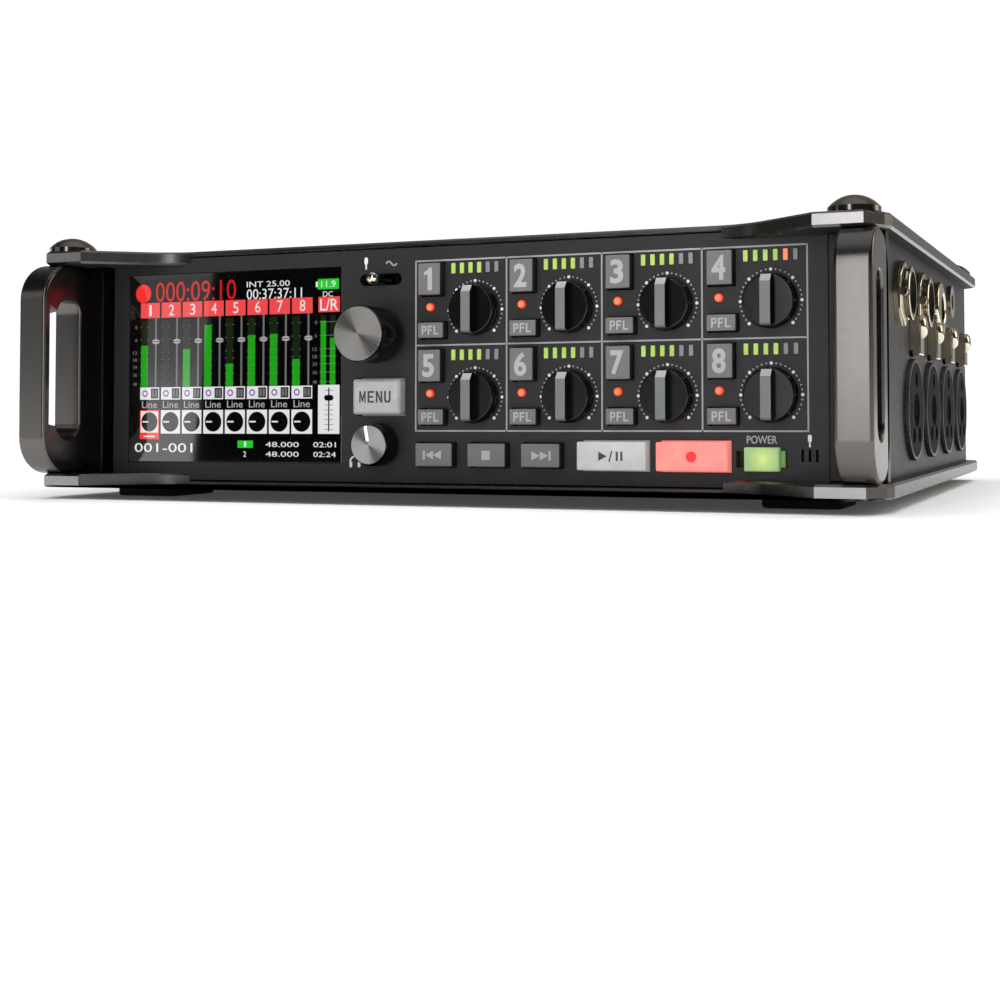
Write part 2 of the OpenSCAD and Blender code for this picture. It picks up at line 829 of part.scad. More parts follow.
module play_key() {
    color([0.8, 0.8, 0.8]) key(play_x, transport_z, wide_w, wide_h);
}

module record_key() {
    color([0.9, 0.35, 0.33]) key(record_x, transport_z, wide_w, wide_h);
}

module encoder_shaft() {
    color([0.6, 0.6, 0.6])
        rod_y(centre_x, encoder_z, encoder_shaft_r, panel_y - 6.5, board_y + board_t);
}

module encoder_knob() {
    rear = panel_y - 0.9;
    color([0.05, 0.05, 0.05])
        difference() {
            rod_y(centre_x, encoder_z, encoder_r, panel_y - encoder_out, rear);
            rod_y(centre_x, encoder_z, encoder_shaft_r + 0.05, panel_y - 6.6, rear + cut);
        }
}

module volume_knob() {
    color([0.05, 0.05, 0.05]) {
        rod_y(centre_x, volume_z, volume_r, panel_y - volume_out, panel_y - 0.3);
        rod_y(centre_x, volume_z, shaft_r, panel_y - 1, board_y + 1);
    }
}

// Lever on an upright barrel
module slate_toggle() {
    pivot_y = panel_back_y + 1.7;
    color([0.85, 0.82, 0.75]) {
        translate([centre_x, pivot_y, toggle_z]) cylinder(r = 1.2, h = 2.6, center = true);
        rod_y(centre_x, toggle_z, 0.75, panel_y - 2.6, pivot_y);
        translate([centre_x, panel_y - 3, toggle_z]) sphere(r = 1.15);
    }
}

// Slide switch: cap on the panel's face, neck in the slot and plate behind
module power_slider() {
    color([0.5, 0.8, 0.3]) {
        bar_y(power_x, power_z, power_w, power_h, panel_y - 1.3, panel_y - 0.1);
        bar_y(power_x, power_z, power_w - 0.4, power_slot_h - 0.4, panel_y - 0.2, panel_back_y + 0.2);
        bar_y(power_x, power_z, power_w, power_h, panel_back_y + 0.15, panel_back_y + 1);
    }
}

// ---- battery case ----

module cells() {
    for (i = [-1.5:1:1.5])
        for (z = [sled_mid_z - cell_pitch / 2, sled_mid_z + cell_pitch / 2]) {
            rod_y(i * cell_pitch, z, cell_r, cell_y0, cell_y0 + cell_len);
            rod_y(i * cell_pitch, z, cell_cap_r, cell_y0 + cell_len - 0.1, cell_y0 + cell_len + 1);
        }
}

module battery_sled() {
    color([0.15, 0.15, 0.15])
        difference() {
            union() {
                for (y = [sled_y0, sled_y1 - sled_end])
                    block([-sled_w / 2, y, sled_z0], [sled_w / 2, y + sled_end, sled_z1]);
                block([-sled_w / 2, sled_y0, sled_mid_z - cell_pitch / 2],
                      [sled_w / 2, sled_y1, sled_mid_z + cell_pitch / 2]);
            }
            for (i = [-1.5:1:1.5])
                for (s = [-1, 1])
                    rod_y(i * cell_pitch, sled_mid_z + s * cell_pitch / 2, cell_r + 0.2,
                          sled_y0 + sled_end, sled_y1 - sled_end);
        }
    color([0.75, 0.55, 0.2]) cells();
}

module battery_door() {
    color([0.1, 0.1, 0.1]) {
        difference() {
            block([-bay_w / 2 - door_over, rear_wall_y + 0.1, sled_z0 - door_over],
                  [bay_w / 2 + door_over, rear_y - 0.1, sled_z1 + door_over]);
            slot_y(0, sled_mid_z, pull_w, pull_h, rear_y - 0.9, rear_y + cut);
        }
        block([-pull_w / 2 - 10, sled_y1 + fit, sled_mid_z - pull_h - 2],
              [pull_w / 2 + 10, rear_wall_y + 0.1, sled_mid_z + pull_h + 2]);
    }
}

top_cover();
bottom_cover();
chassis();
front_panel();
left_handle();
right_handle();
display_module();
combo_jacks();
right_jacks();
left_jacks();
rear_sockets();
rubber_feet();
cover_screws();
main_board();
control_board();
knob(1);  // knob_1
knob(2);  // knob_2
knob(3);  // knob_3
knob(4);  // knob_4
knob(5);  // knob_5
knob(6);  // knob_6
knob(7);  // knob_7
knob(8);  // knob_8
track_key(1);  // track_key_1
track_key(2);  // track_key_2
track_key(3);  // track_key_3
track_key(4);  // track_key_4
track_key(5);  // track_key_5
track_key(6);  // track_key_6
track_key(7);  // track_key_7
track_key(8);  // track_key_8
pfl_key(1);  // pfl_key_1
pfl_key(2);  // pfl_key_2
pfl_key(3);  // pfl_key_3
pfl_key(4);  // pfl_key_4
pfl_key(5);  // pfl_key_5
pfl_key(6);  // pfl_key_6
pfl_key(7);  // pfl_key_7
pfl_key(8);  // pfl_key_8
menu_key();
rewind_key();
stop_key();
forward_key();
play_key();
record_key();
encoder_shaft();
encoder_knob();
volume_knob();
slate_toggle();
power_slider();
latch(1);  // latch_1
latch(2);  // latch_2
latch(3);  // latch_3
latch(4);  // latch_4
latch(5);  // latch_5
latch(6);  // latch_6
latch(7);  // latch_7
latch(8);  // latch_8
battery_sled();
battery_door();
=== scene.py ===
"""Looks of a portable eight-input field recorder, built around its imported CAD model."""

import math

import bmesh
import bpy
from mathutils import Matrix, Vector


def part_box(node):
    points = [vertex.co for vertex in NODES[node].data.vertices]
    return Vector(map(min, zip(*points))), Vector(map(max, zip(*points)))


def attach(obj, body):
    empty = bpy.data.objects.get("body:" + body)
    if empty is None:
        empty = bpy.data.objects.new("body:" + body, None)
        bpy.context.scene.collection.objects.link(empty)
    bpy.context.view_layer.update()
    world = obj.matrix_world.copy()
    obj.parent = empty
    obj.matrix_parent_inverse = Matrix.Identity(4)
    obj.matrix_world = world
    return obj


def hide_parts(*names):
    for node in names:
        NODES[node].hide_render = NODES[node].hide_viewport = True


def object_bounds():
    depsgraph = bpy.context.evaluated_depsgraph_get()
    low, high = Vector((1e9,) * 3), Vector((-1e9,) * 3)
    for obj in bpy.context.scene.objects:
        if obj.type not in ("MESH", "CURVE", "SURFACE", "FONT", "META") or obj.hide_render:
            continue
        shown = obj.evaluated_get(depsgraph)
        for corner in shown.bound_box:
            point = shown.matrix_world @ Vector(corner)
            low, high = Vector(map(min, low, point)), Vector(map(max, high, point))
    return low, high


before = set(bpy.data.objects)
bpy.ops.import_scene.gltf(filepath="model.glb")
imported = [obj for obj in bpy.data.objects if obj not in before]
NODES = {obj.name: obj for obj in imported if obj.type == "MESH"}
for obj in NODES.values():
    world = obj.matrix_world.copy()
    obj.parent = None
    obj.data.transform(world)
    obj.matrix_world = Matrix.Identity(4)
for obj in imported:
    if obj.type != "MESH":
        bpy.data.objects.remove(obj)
CAD_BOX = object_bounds()
CASE = "main_case"
MM = 0.001
CHANNELS = range(1, 9)


# ---- sizes, taken from the frame (metres) ----


def centre_of(node):
    low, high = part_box(node)
    return (Vector(low) + Vector(high)) / 2


def front_of(node):
    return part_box(node)[0][1]


PANEL_LOW, PANEL_HIGH = (Vector(corner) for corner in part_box("front_panel"))
PANEL_Y = PANEL_LOW.y
SCREEN_LOW, SCREEN_HIGH = (Vector(corner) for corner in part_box("display_module"))
KNOBS = {n: centre_of(f"knob_{n}") for n in CHANNELS}
PITCH_X = KNOBS[2].x - KNOBS[1].x
ENCODER = centre_of("encoder_knob")
VOLUME = centre_of("volume_knob")
TOP = CAD_BOX[1].z
HALF_W = CAD_BOX[1].x
INK = 0.025 * MM
LIT_LEVELS = 4
FLAT_ANGLE = math.radians(1)
SHARP_ANGLE = math.radians(38)


# ---- materials ----

FINISHES = {}
SCREEN_IOR = 1.8
LINES_X = (0.05, 1.0, 1.0)
PATCH_SCALE = 90.0
NOISE_LOW, NOISE_HIGH = 0.3, 0.7


class Finish:
    """A node material whose colour, roughness and relief all vary over the surface."""

    def __init__(self, name, rough, metallic=0.0, specular=0.5):
        self.mat = bpy.data.materials.new(name)
        self.mat.use_nodes = True
        self.tree = self.mat.node_tree
        self.shader = self.tree.nodes["Principled BSDF"]
        self.put("Roughness", rough)
        self.put("Metallic", metallic)
        self.put("Specular IOR Level", specular)
        FINISHES[name] = self
        self.rough = rough
        self.coords = self.node("ShaderNodeTexCoord").outputs["Object"]

    def node(self, kind, **settings):
        made = self.tree.nodes.new(kind)
        for key, value in settings.items():
            setattr(made, key, value)
        return made

    def link(self, a, b):
        self.tree.links.new(a, b)

    def maths(self, operation, a, b=0.0):
        made = self.node("ShaderNodeMath", operation=operation)
        for socket, value in zip(made.inputs, (a, b)):
            if isinstance(value, (int, float)):
                socket.default_value = value
            else:
                self.link(value, socket)
        return made.outputs[0]

    def noise(self, scale, detail=3.0, stretch=None):
        made = self.node("ShaderNodeTexNoise")
        made.inputs["Scale"].default_value = scale
        made.inputs["Detail"].default_value = detail
        source = self.coords
        if stretch:
            mapping = self.node("ShaderNodeMapping")
            mapping.inputs["Scale"].default_value = stretch
            self.link(source, mapping.inputs["Vector"])
            source = mapping.outputs[0]
        self.link(source, made.inputs["Vector"])
        return made.outputs["Fac"]

    def ramp(self, value, stops, socket):
        """Colour ramp from (position, colour) stops, linked to a socket of the shader."""
        made = self.node("ShaderNodeValToRGB")
        for i, (position, colour) in enumerate(stops):
            while len(made.color_ramp.elements) <= i:
                made.color_ramp.elements.new(1.0)
            made.color_ramp.elements[i].position = position
            made.color_ramp.elements[i].color = (*colour, 1.0)
        self.link(value, made.inputs[0])
        self.link(made.outputs[0], self.shader.inputs[socket])

    def tint(self, value, colour, vary, socket="Base Color"):
        """Colour that swings by the share vary either side of colour."""
        dark = tuple(c * (1 - vary) for c in colour)
        light = tuple(min(c * (1 + vary), 1.0) for c in colour)
        self.ramp(value, [(NOISE_LOW, dark), (NOISE_HIGH, light)], socket)

    def roughen(self, value, swing):
        spread = self.node("ShaderNodeMapRange")
        self.link(value, spread.inputs["Value"])
        spread.inputs["From Min"].default_value = NOISE_LOW
        spread.inputs["From Max"].default_value = NOISE_HIGH
        spread.inputs["To Min"].default_value = max(self.rough - swing, 0.0)
        spread.inputs["To Max"].default_value = self.rough + swing
        self.link(spread.outputs["Result"], self.shader.inputs["Roughness"])

    def relief(self, value, depth, strength=1.0):
        bump = self.node("ShaderNodeBump")
        bump.inputs["Strength"].default_value = strength
        bump.inputs["Distance"].default_value = depth
        self.link(value, bump.inputs["Height"])
        self.link(bump.outputs[0], self.shader.inputs["Normal"])

    def put(self, socket, value):
        self.shader.inputs[socket].default_value = value

    def across(self, centre):
        """X and Z distances from a centre, and the radius they make."""
        parts = self.node("ShaderNodeSeparateXYZ")
        self.link(self.coords, parts.inputs[0])
        dx, dz = (self.maths("SUBTRACT", parts.outputs[i], centre[i]) for i in (0, 2))
        square = self.maths("ADD", self.maths("MULTIPLY", dx, dx), self.maths("MULTIPLY", dz, dz))
        return dx, dz, self.maths("SQRT", square)


def coated(name, colour, rough, metallic=0.0, specular=0.5, vary=0.14, grain=3500.0, depth=0.012,
           swing=0.04):
    """Painted, moulded or anodised surface: patchy tone, fine grain in roughness and relief."""
    made = Finish(name, rough, metallic, specular)
    made.tint(made.noise(PATCH_SCALE, 4.0), colour, vary)
    fine = made.noise(grain, 2.0)
    made.roughen(made.noise(grain * 0.25, 4.0), swing)
    made.relief(fine, depth * MM)


def brushed(name, colour, rough, stretch, vary=0.12, metallic=1.0):
    """Drawn or machined metal: fine lines that run along the axis whose stretch is small."""
    made = Finish(name, rough, metallic)
    lines = made.noise(260.0, 5.0, stretch)
    made.tint(lines, colour, vary)
    made.roughen(lines, 0.06)
    made.relief(lines, 0.006 * MM, 0.6)


def lamp_plastic(name, colour, glow, strength, rough=0.35):
    """Translucent plastic lit from behind, a little uneven; also used for a painted glow on the volume knob's
    pointer mark.
    """
    made = Finish(name, rough)
    cloud = made.noise(420.0, 3.0)
    made.tint(cloud, colour, 0.08)
    made.tint(cloud, glow, 0.12, "Emission Color")
    made.put("Emission Strength", strength)
    made.roughen(made.noise(2600.0), 0.05)


def hot_spot(name, colour, centre, radius, core, edge, strength):
    """Lit cap with a bright spot over its lamp."""
    made = Finish(name, 0.32)
    made.tint(made.noise(800.0), colour, 0.06)
    reach = made.maths("DIVIDE", made.across(centre)[2], radius)
    made.ramp(reach, [(0.0, core), (0.35, tuple((a + b) / 2 for a, b in zip(core, edge))), (1.0, edge)],
              "Emission Color")
    made.put("Emission Strength", strength)
    made.roughen(made.noise(2600.0), 0.05)


def spun(name, colour, centre, turn):
    """Turned aluminium cap: light and dark fans painted round the centre in the base colour, a painted
    highlight and painted shade that stand in for the sheen of turned metal, and fine rings in the roughness.
    """
    made = Finish(name, 0.42, 1.0)
    dx, dz, away = made.across(centre)
    angle = made.maths("ARCTAN2", dz, dx)
    # Painted sheen: a highlight and shade fan in the base colour, set round by turn, with faint radial
    # streaks.
    painted_sheen_fan = made.maths("COSINE", made.maths("ADD", made.maths("MULTIPLY", angle, 2.0), turn))
    painted_sheen_fan = made.maths("MULTIPLY", made.maths("ADD", painted_sheen_fan, 1.0), 0.5)
    streak = made.maths("MULTIPLY", made.maths("SINE", made.maths("MULTIPLY", angle, 37.0)), 0.03)
    dark, light = (tuple(c * k for c in colour) for k in (0.3, 1.15))
    made.ramp(made.maths("ADD", painted_sheen_fan, streak), [(0.0, dark), (0.3, colour), (1.0, light)], "Base Color")
    rings = made.maths("SINE", made.maths("MULTIPLY", away, 24000.0))
    made.roughen(made.maths("ADD", made.maths("MULTIPLY", rings, 0.2), 0.5), 0.04)


def picture(name, colour):
    """One colour of the screen's picture, under the gloss of its cover, with the panel's dot rows."""
    made = Finish(name, 0.04, 0.0, 1.0)
    made.put("IOR", SCREEN_IOR)
    made.put("Base Color", (0.002, 0.002, 0.002, 1.0))
    dots = made.node("ShaderNodeTexChecker")
    dots.inputs["Scale"].default_value = 9000.0
    dots.inputs["Color1"].default_value = (*colour, 1.0)
    dots.inputs["Color2"].default_value = (*(c * 0.86 for c in colour), 1.0)
    made.link(made.coords, dots.inputs["Vector"])
    made.link(dots.outputs["Color"], made.shader.inputs["Emission Color"])
    made.put("Emission Strength", 1.0)


coated("plate", (0.115, 0.108, 0.104), 0.28, 1.0, vary=0.04, grain=3600.0, depth=0.0, swing=0.015)
# plate_under_painted_shade: dark matt finish for faces that look down, painted shade.
coated("plate_under_painted_shade", (0.03, 0.028, 0.026), 0.6, 0.0, specular=0.2)
coated("plate_facet", (0.34, 0.332, 0.33), 0.28, 1.0, vary=0.03, depth=0.0, swing=0.01)
coated("plate_edge", (0.2, 0.194, 0.188), 0.26, 1.0, vary=0.04, grain=3600.0, depth=0.0, swing=0.015)
coated("bar", (0.15, 0.142, 0.134), 0.24, 1.0, vary=0.03, grain=3600.0, depth=0.0, swing=0.012)
# bar_foot_painted_shade: near-black copy of bar on the foot block by the panel, painted shade.
coated("bar_foot_painted_shade", (0.022, 0.021, 0.02), 0.32, 1.0, vary=0.03, grain=3600.0, depth=0.0, swing=0.012)
coated("panel", (0.018, 0.0178, 0.0184), 0.5, 0.0, 0.45, 0.06, 5200.0, 0.012)
coated("case", (0.02, 0.0192, 0.018), 0.46, 0.0, 0.42, 0.12, 3200.0, 0.02)
coated("ink", (0.40, 0.405, 0.415), 0.6, vary=0.06)
coated("dot_ink", (0.86, 0.87, 0.88), 0.6, vary=0.05)
coated("knob", (0.003, 0.003, 0.0034), 0.17, 0.0, 0.4, 0.1, 3000.0, 0.001, 0.01)
coated("pointer", (0.17, 0.183, 0.192), 0.42, vary=0.05)
# pointer_tip_painted_highlight: lighter grey for the pointer fin's upward-facing end, a painted highlight.
coated("pointer_tip_painted_highlight", (0.4, 0.41, 0.42), 0.4, vary=0.07)
coated("key", (0.178, 0.169, 0.163), 0.5, vary=0.05, grain=4200.0, depth=0.006)
# key_side_painted_shade: near-black side walls of the keys, painted shade.
coated("key_side_painted_shade", (0.022, 0.021, 0.02), 0.5, 0.0, 0.3, vary=0.08)
coated("key_ink", (0.436, 0.455, 0.475), 0.55, vary=0.05)
lamp_plastic("menu", (0.42, 0.42, 0.41), (1.0, 0.99, 0.96), 0.1)
# menu_rim_painted_shade: darker, dimmer copy of menu for the key's tilted rim, painted shade.
lamp_plastic("menu_rim_painted_shade", (0.34, 0.34, 0.33), (1.0, 0.99, 0.96), 0.06)
coated("menu_ink", (0.06, 0.06, 0.062), 0.5)
lamp_plastic("play", (0.45, 0.45, 0.45), (1.0, 1.0, 1.0), 0.2)
lamp_plastic("record", (0.62, 0.16, 0.14), (1.0, 0.26, 0.23), 0.72)
lamp_plastic("record_dot", (0.7, 0.02, 0.02), (1.0, 0.012, 0.012), 0.85)
lamp_plastic("led_red", (0.5, 0.04, 0.02), (1.0, 0.06, 0.02), 0.7, 0.2)
lamp_plastic("led_core", (0.7, 0.25, 0.1), (1.0, 0.19, 0.055), 0.36, 0.2)
lamp_plastic("level_lit", (0.35, 0.5, 0.12), (0.58, 0.84, 0.13), 0.26, 0.3)
lamp_plastic("level_hot", (0.7, 0.2, 0.1), (1.0, 0.16, 0.06), 0.8, 0.25)
coated("level_off", (0.256, 0.256, 0.276), 0.35, vary=0.05)
coated("screen", (0.002, 0.002, 0.0025), 0.05, 0.0, 1.0, grain=4000.0, depth=0.0, swing=0.0)
coated("chrome", (0.74, 0.68, 0.55), 0.12, 1.0, vary=0.04, grain=1600.0, depth=0.004, swing=0.02)
coated("brass", (0.6, 0.46, 0.2), 0.22, 1.0, vary=0.08, grain=1600.0, depth=0.006)
coated("screw", (0.17, 0.145, 0.125), 0.15, 1.0, vary=0.06, grain=1800.0, depth=0.002, swing=0.02)
coated("steel", (0.45, 0.44, 0.42), 0.28, 1.0, vary=0.08)
coated("socket", (0.006, 0.0058, 0.0055), 0.6, 0.0, 0.05, 0.1, 3400.0, 0.006)
coated("socket_rim", (0.03, 0.029, 0.028), 0.35, 0.0, 0.4, vary=0.06)
# hollow: near-black matt finish for the insides of bores and deep recesses, painted shade.
coated("hollow_painted_shade", (0.002, 0.002, 0.002), 0.7, vary=0.1)
coated("rubber", (0.012, 0.012, 0.012), 0.85, 0.0, 0.3, 0.15, 1500.0, 0.05)
coated("board", (0.01, 0.09, 0.035), 0.4, vary=0.2)
brushed("can", (0.55, 0.55, 0.56), 0.35, LINES_X)
coated("jacket", (0.03, 0.05, 0.12), 0.35, vary=0.1)


FINISHES["screen"].put("IOR", SCREEN_IOR)


# ---- shapes ----


def spot(axis, u, v, w):
    """Point from two coordinates across an axis and one along it."""
    return {"x": Vector((w, u, v)), "y": Vector((u, w, v)), "z": Vector((u, v, w))}[axis]


def prism(outline, axis, start, end, soften=0.0):
    """Outline pushed along an axis; the edges of its start face may be rounded."""
    part = bmesh.new()
    near = [part.verts.new(spot(axis, u, v, start)) for u, v in outline]
    far = [part.verts.new(spot(axis, u, v, end)) for u, v in outline]
    face = part.faces.new(near)
    part.faces.new(far[::-1])
    for i in range(len(outline)):
        j = (i + 1) % len(outline)
        part.faces.new((near[j], near[i], far[i], far[j]))
    bmesh.ops.recalc_face_normals(part, faces=part.faces)
    if soften:
        bmesh.ops.bevel(part, geom=list(face.edges), offset=soften, segments=2,
                        profile=0.5, affect="EDGES", clamp_overlap=True)
    return part


def round_rect(u, v, w, h, r=0.0, steps=4):
    """Outline of a rectangle with round corners."""
    if r <= 0:
        return [(u + su * w / 2, v + sv * h / 2) for su, sv in ((-1, -1), (1, -1), (1, 1), (-1, 1))]
    points = []
    for k, (su, sv) in enumerate(((1, -1), (1, 1), (-1, 1), (-1, -1))):
        for i in range(steps + 1):
            a = math.radians(-90 + 90 * k + 90 * i / steps)
            points.append((u + su * (w / 2 - r) + r * math.cos(a), v + sv * (h / 2 - r) + r * math.sin(a)))
    return points


def disc(u, v, r, steps=24, squeeze=1.0):
    turns = [2 * math.pi * i / steps for i in range(steps)]
    return [(u + r * math.cos(a), v + r * squeeze * math.sin(a)) for a in turns]


def lathe(profile, axis, u, v, steps=64, flutes=0, flute_depth=0.0, fluted=()):
    """(radius, place along the axis) points turned round an axis; the listed rings may be fluted."""
    part = bmesh.new()
    rings = []
    for k, (r, w) in enumerate(profile):
        if r == 0:
            rings.append([part.verts.new(spot(axis, u, v, w))])
            continue
        ring = []
        for i in range(steps):
            a = 2 * math.pi * i / steps
            cut = flute_depth * (i % (steps // flutes) == 0) if flutes and k in fluted else 0.0
            at = spot(axis, u + (r - cut) * math.cos(a), v + (r - cut) * math.sin(a), w)
            ring.append(part.verts.new(at))
        rings.append(ring)
    for a, b in zip(rings, rings[1:]):
        for i in range(steps):
            j = (i + 1) % steps
            corners = [a[i % len(a)], a[j % len(a)], b[j % len(b)], b[i % len(b)]]
            corners = [c for n, c in enumerate(corners) if c not in corners[:n]]
            part.faces.new(corners)
    bmesh.ops.recalc_face_normals(part, faces=part.faces)
    return part


def side_view(pairs, start=0.0, way=1):
    """Profile from (radius, distance) in millimetres; the distance runs from start along way."""
    return [(r * MM, start + way * w * MM) for r, w in pairs]


def inset(r, plane, pairs):
    """Profile from (how far inside radius r, how far behind a plane) in millimetres."""
    return [(r - a * MM, plane + b * MM) for a, b in pairs]


def lettering(text, u, v, height, width, y, bold=0.02, lift=INK):
    """Flat letters that face the front, fitted to a height and a width."""
    curve = bpy.data.curves.new("letters", "FONT")
    curve.body = text
    curve.offset = bold
    curve.extrude = 0.5
    curve.resolution_u = 3
    holder = bpy.data.objects.new("letters", curve)
    mesh = bpy.data.meshes.new_from_object(holder)
    part = bmesh.new()
    part.from_mesh(mesh)
    bpy.data.objects.remove(holder)
    bpy.data.curves.remove(curve)
    bpy.data.meshes.remove(mesh)
    bmesh.ops.remove_doubles(part, verts=part.verts, dist=1e-5)
    low = [min(p.co[k] for p in part.verts) for k in range(2)]
    high = [max(p.co[k] for p in part.verts) for k in range(2)]
    for p in part.verts:
        x = u + ((p.co.x - low[0]) / (high[0] - low[0]) - 0.5) * width
        z = v + ((p.co.y - low[1]) / (high[1] - low[1]) - 0.5) * height
        p.co = Vector((x, y - lift * (p.co.z > 0), z))
    bmesh.ops.recalc_face_normals(part, faces=part.faces)
    return part


def cad_copy(node, soften=0.0, segments=3, pick=None, clamp=True):
    """Copy of a CAD node's mesh with its flat faces joined; sharp edges that pick allows are rounded."""
    part = bmesh.new()
    part.from_mesh(NODES[node].data)
    bmesh.ops.remove_doubles(part, verts=part.verts, dist=1e-6)
    bmesh.ops.dissolve_limit(part, angle_limit=FLAT_ANGLE, verts=part.verts, edges=part.edges)
    if soften:
        edges = [e for e in part.edges if len(e.link_faces) == 2
                 and e.calc_face_angle() > math.radians(30) and (pick is None or pick(e))]
        bmesh.ops.bevel(part, geom=edges, offset=soften, segments=segments, profile=0.5,
                        affect="EDGES", clamp_overlap=clamp)
    return part


def at_plane(axis, value):
    """Picks the edges that touch a plane across axis 0, 1 or 2."""
    return lambda edge: any(abs(v.co[axis] - value) < 0.02 * MM for v in edge.verts)


def past(axis, limit, way=1, test=all):
    """Picks the edges with all (or any) ends past a limit, up the axis or, with way -1, down it."""
    return lambda edge: test(way * v.co[axis] > way * limit for v in edge.verts)


def middle(face):
    return face.calc_center_median()


def place(name, data):
    """New object in the scene for a mesh, a light or a camera."""
    made = bpy.data.objects.new(name, data)
    bpy.context.scene.collection.objects.link(made)
    return made


class Piece:
    """One object made of parts, each with its own finish, that rides on a body and stands for CAD nodes."""

    def __init__(self, name, body, slot, *nodes):
        self.name, self.body, self.slot, self.nodes = name, body, slot, nodes
        self.mesh = bmesh.new()
        self.finishes = []

    def index(self, finish):
        if finish not in self.finishes:
            self.finishes.append(finish)
        return self.finishes.index(finish)

    def add(self, part, finish, smooth=True):
        """Adds a part. finish is a name, or a function from a face to a name."""
        for face in part.faces:
            face.material_index = self.index(finish(face) if callable(finish) else finish)
            face.smooth = smooth
        mesh = bpy.data.meshes.new("part")
        part.to_mesh(mesh)
        part.free()
        self.mesh.from_mesh(mesh)
        bpy.data.meshes.remove(mesh)

    def done(self, sharp=SHARP_ANGLE):
        mesh = bpy.data.meshes.new(self.name)
        self.mesh.to_mesh(mesh)
        self.mesh.free()
        for finish in self.finishes:
            mesh.materials.append(FINISHES[finish].mat)
        mesh.set_sharp_from_angle(angle=sharp)
        made = place(self.name, mesh)
        weighted = made.modifiers.new("weighted", "WEIGHTED_NORMAL")
        weighted.keep_sharp = True
        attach(made, self.body)
        if self.nodes:
            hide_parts(*self.nodes)


def copied(name, body, slot, node, finish, *cut, **how):
    """Piece that stands for a CAD node and starts from a softened copy of it."""
    piece = Piece(name, body, slot, node)
    piece.add(cad_copy(node, *cut, **how), finish)
    return piece


def dress(node, finish):
    """Gives a carried-over CAD node its finish."""
    data = NODES[node].data
    data.materials.clear()
    data.materials.append(FINISHES[finish].mat)


# ---- case: plates, handles, walls, feet, screws ----

PLATE_CHAMFER = 0.42 * MM
EAR_FROM = 60 * MM
BAR_EDGE_R = 0.7 * MM
BAR_BEVEL = 2.9 * MM
RING_W = 6.6 * MM
RING_R = 7.6 * MM
FOOT_STEP = 3.6 * MM
SLOT_Y = 9.0 * MM
SLOT_W = 6.4 * MM
SLOT_R = 3.0 * MM
SLOT_MARGIN = 7.4 * MM
SLOT_EDGE_R = 0.5 * MM
STATIONS = 10
FOOT_EDGE_R = 0.6 * MM


def build_plates():
    for node, name in (("top_cover", "top_plate"), ("bottom_cover", "bottom_plate")):
        low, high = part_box(node)
        thickness = high[2] - low[2]

        def rim(edge):
            """Edges where a wall of over a third of the plate's thickness meets its flat sides."""
            flat = abs(edge.verts[0].co.z - edge.verts[1].co.z) < 1e-6
            walls = [f for f in edge.link_faces if abs(f.normal.z) < 0.1]
            heights = [[v.co.z for v in f.verts] for f in walls]
            return flat and any(max(z) - min(z) > 0.35 * thickness for z in heights)

        def paint(face):
            """Chamfers and the ears' front facets are cut bright; faces that look down are painted dark and
            matt, a painted shade.
            """
            slope = abs(face.normal.z)
            facet = slope < 0.2 and face.normal.y < -0.99 and abs(middle(face).x) > EAR_FROM
            # Downward faces: painted shade in place of the floor's reflection.
            if face.normal.z < -0.95:
                return "plate_under_painted_shade"
            return "plate_facet" if facet else "plate_edge" if 0.2 < slope < 0.95 else "plate"

        piece = copied(name, CASE, "anodised_plate", node, paint, PLATE_CHAMFER, 1, rim, clamp=False)
        piece.done(math.radians(20))


def corner(t, s_end, s_way, x_end, x_way, r, flat=False):
    """Point at share t of a rounded (or flat) corner of the ring's section; way is the direction inwards."""
    if flat:
        return s_end + s_way * r * t, x_end + x_way * r * (1 - t)
    a = t * math.pi / 2
    return s_end + s_way * r * (1 - math.cos(a)), x_end + x_way * r * (1 - math.sin(a))


def handle_ring(low, high, outer, inner):
    """Ring with a strap slot: its section, with round corners, swept between an outer and a slot outline."""
    mid = (low[2] + high[2]) / 2
    around = round_rect((low[1] + high[1]) / 2, mid, high[1] - low[1], high[2] - low[2], RING_R, STATIONS)
    slot = round_rect(PANEL_Y - SLOT_Y, mid, SLOT_W, high[2] - low[2] - 2 * SLOT_MARGIN, SLOT_R, STATIONS)
    way = math.copysign(1, inner - outer)
    part = bmesh.new()
    rings = []
    for p, q in zip(around, slot):
        p, q = Vector(p), Vector(q)
        reach = (q - p).length
        bevelled = abs(q.x - (PANEL_Y - SLOT_Y - SLOT_W / 2)) < 0.01 * MM
        back_r = BAR_BEVEL if bevelled else SLOT_EDGE_R
        steps = [k / 4 for k in range(5)]
        section = [corner(t, 0, 1, outer, way, BAR_EDGE_R) for t in steps]
        section += [corner(t, reach, -1, outer, way, SLOT_EDGE_R) for t in steps[::-1]]
        section += [corner(t, reach, -1, inner, -way, back_r, bevelled) for t in steps]
        section += [corner(t, 0, 1, inner, -way, BAR_EDGE_R) for t in steps[::-1]]
        ring = []
        for s, x in section:
            at = p + (q - p) * (s / reach)
            ring.append(part.verts.new((x, at.x, at.y)))
        rings.append(ring)
    for a, b in zip(rings, rings[1:] + rings[:1]):
        for k in range(len(a)):
            m = (k + 1) % len(a)
            part.faces.new((a[k], a[m], b[m], b[k]))
    bmesh.ops.recalc_face_normals(part, faces=part.faces)
    return part


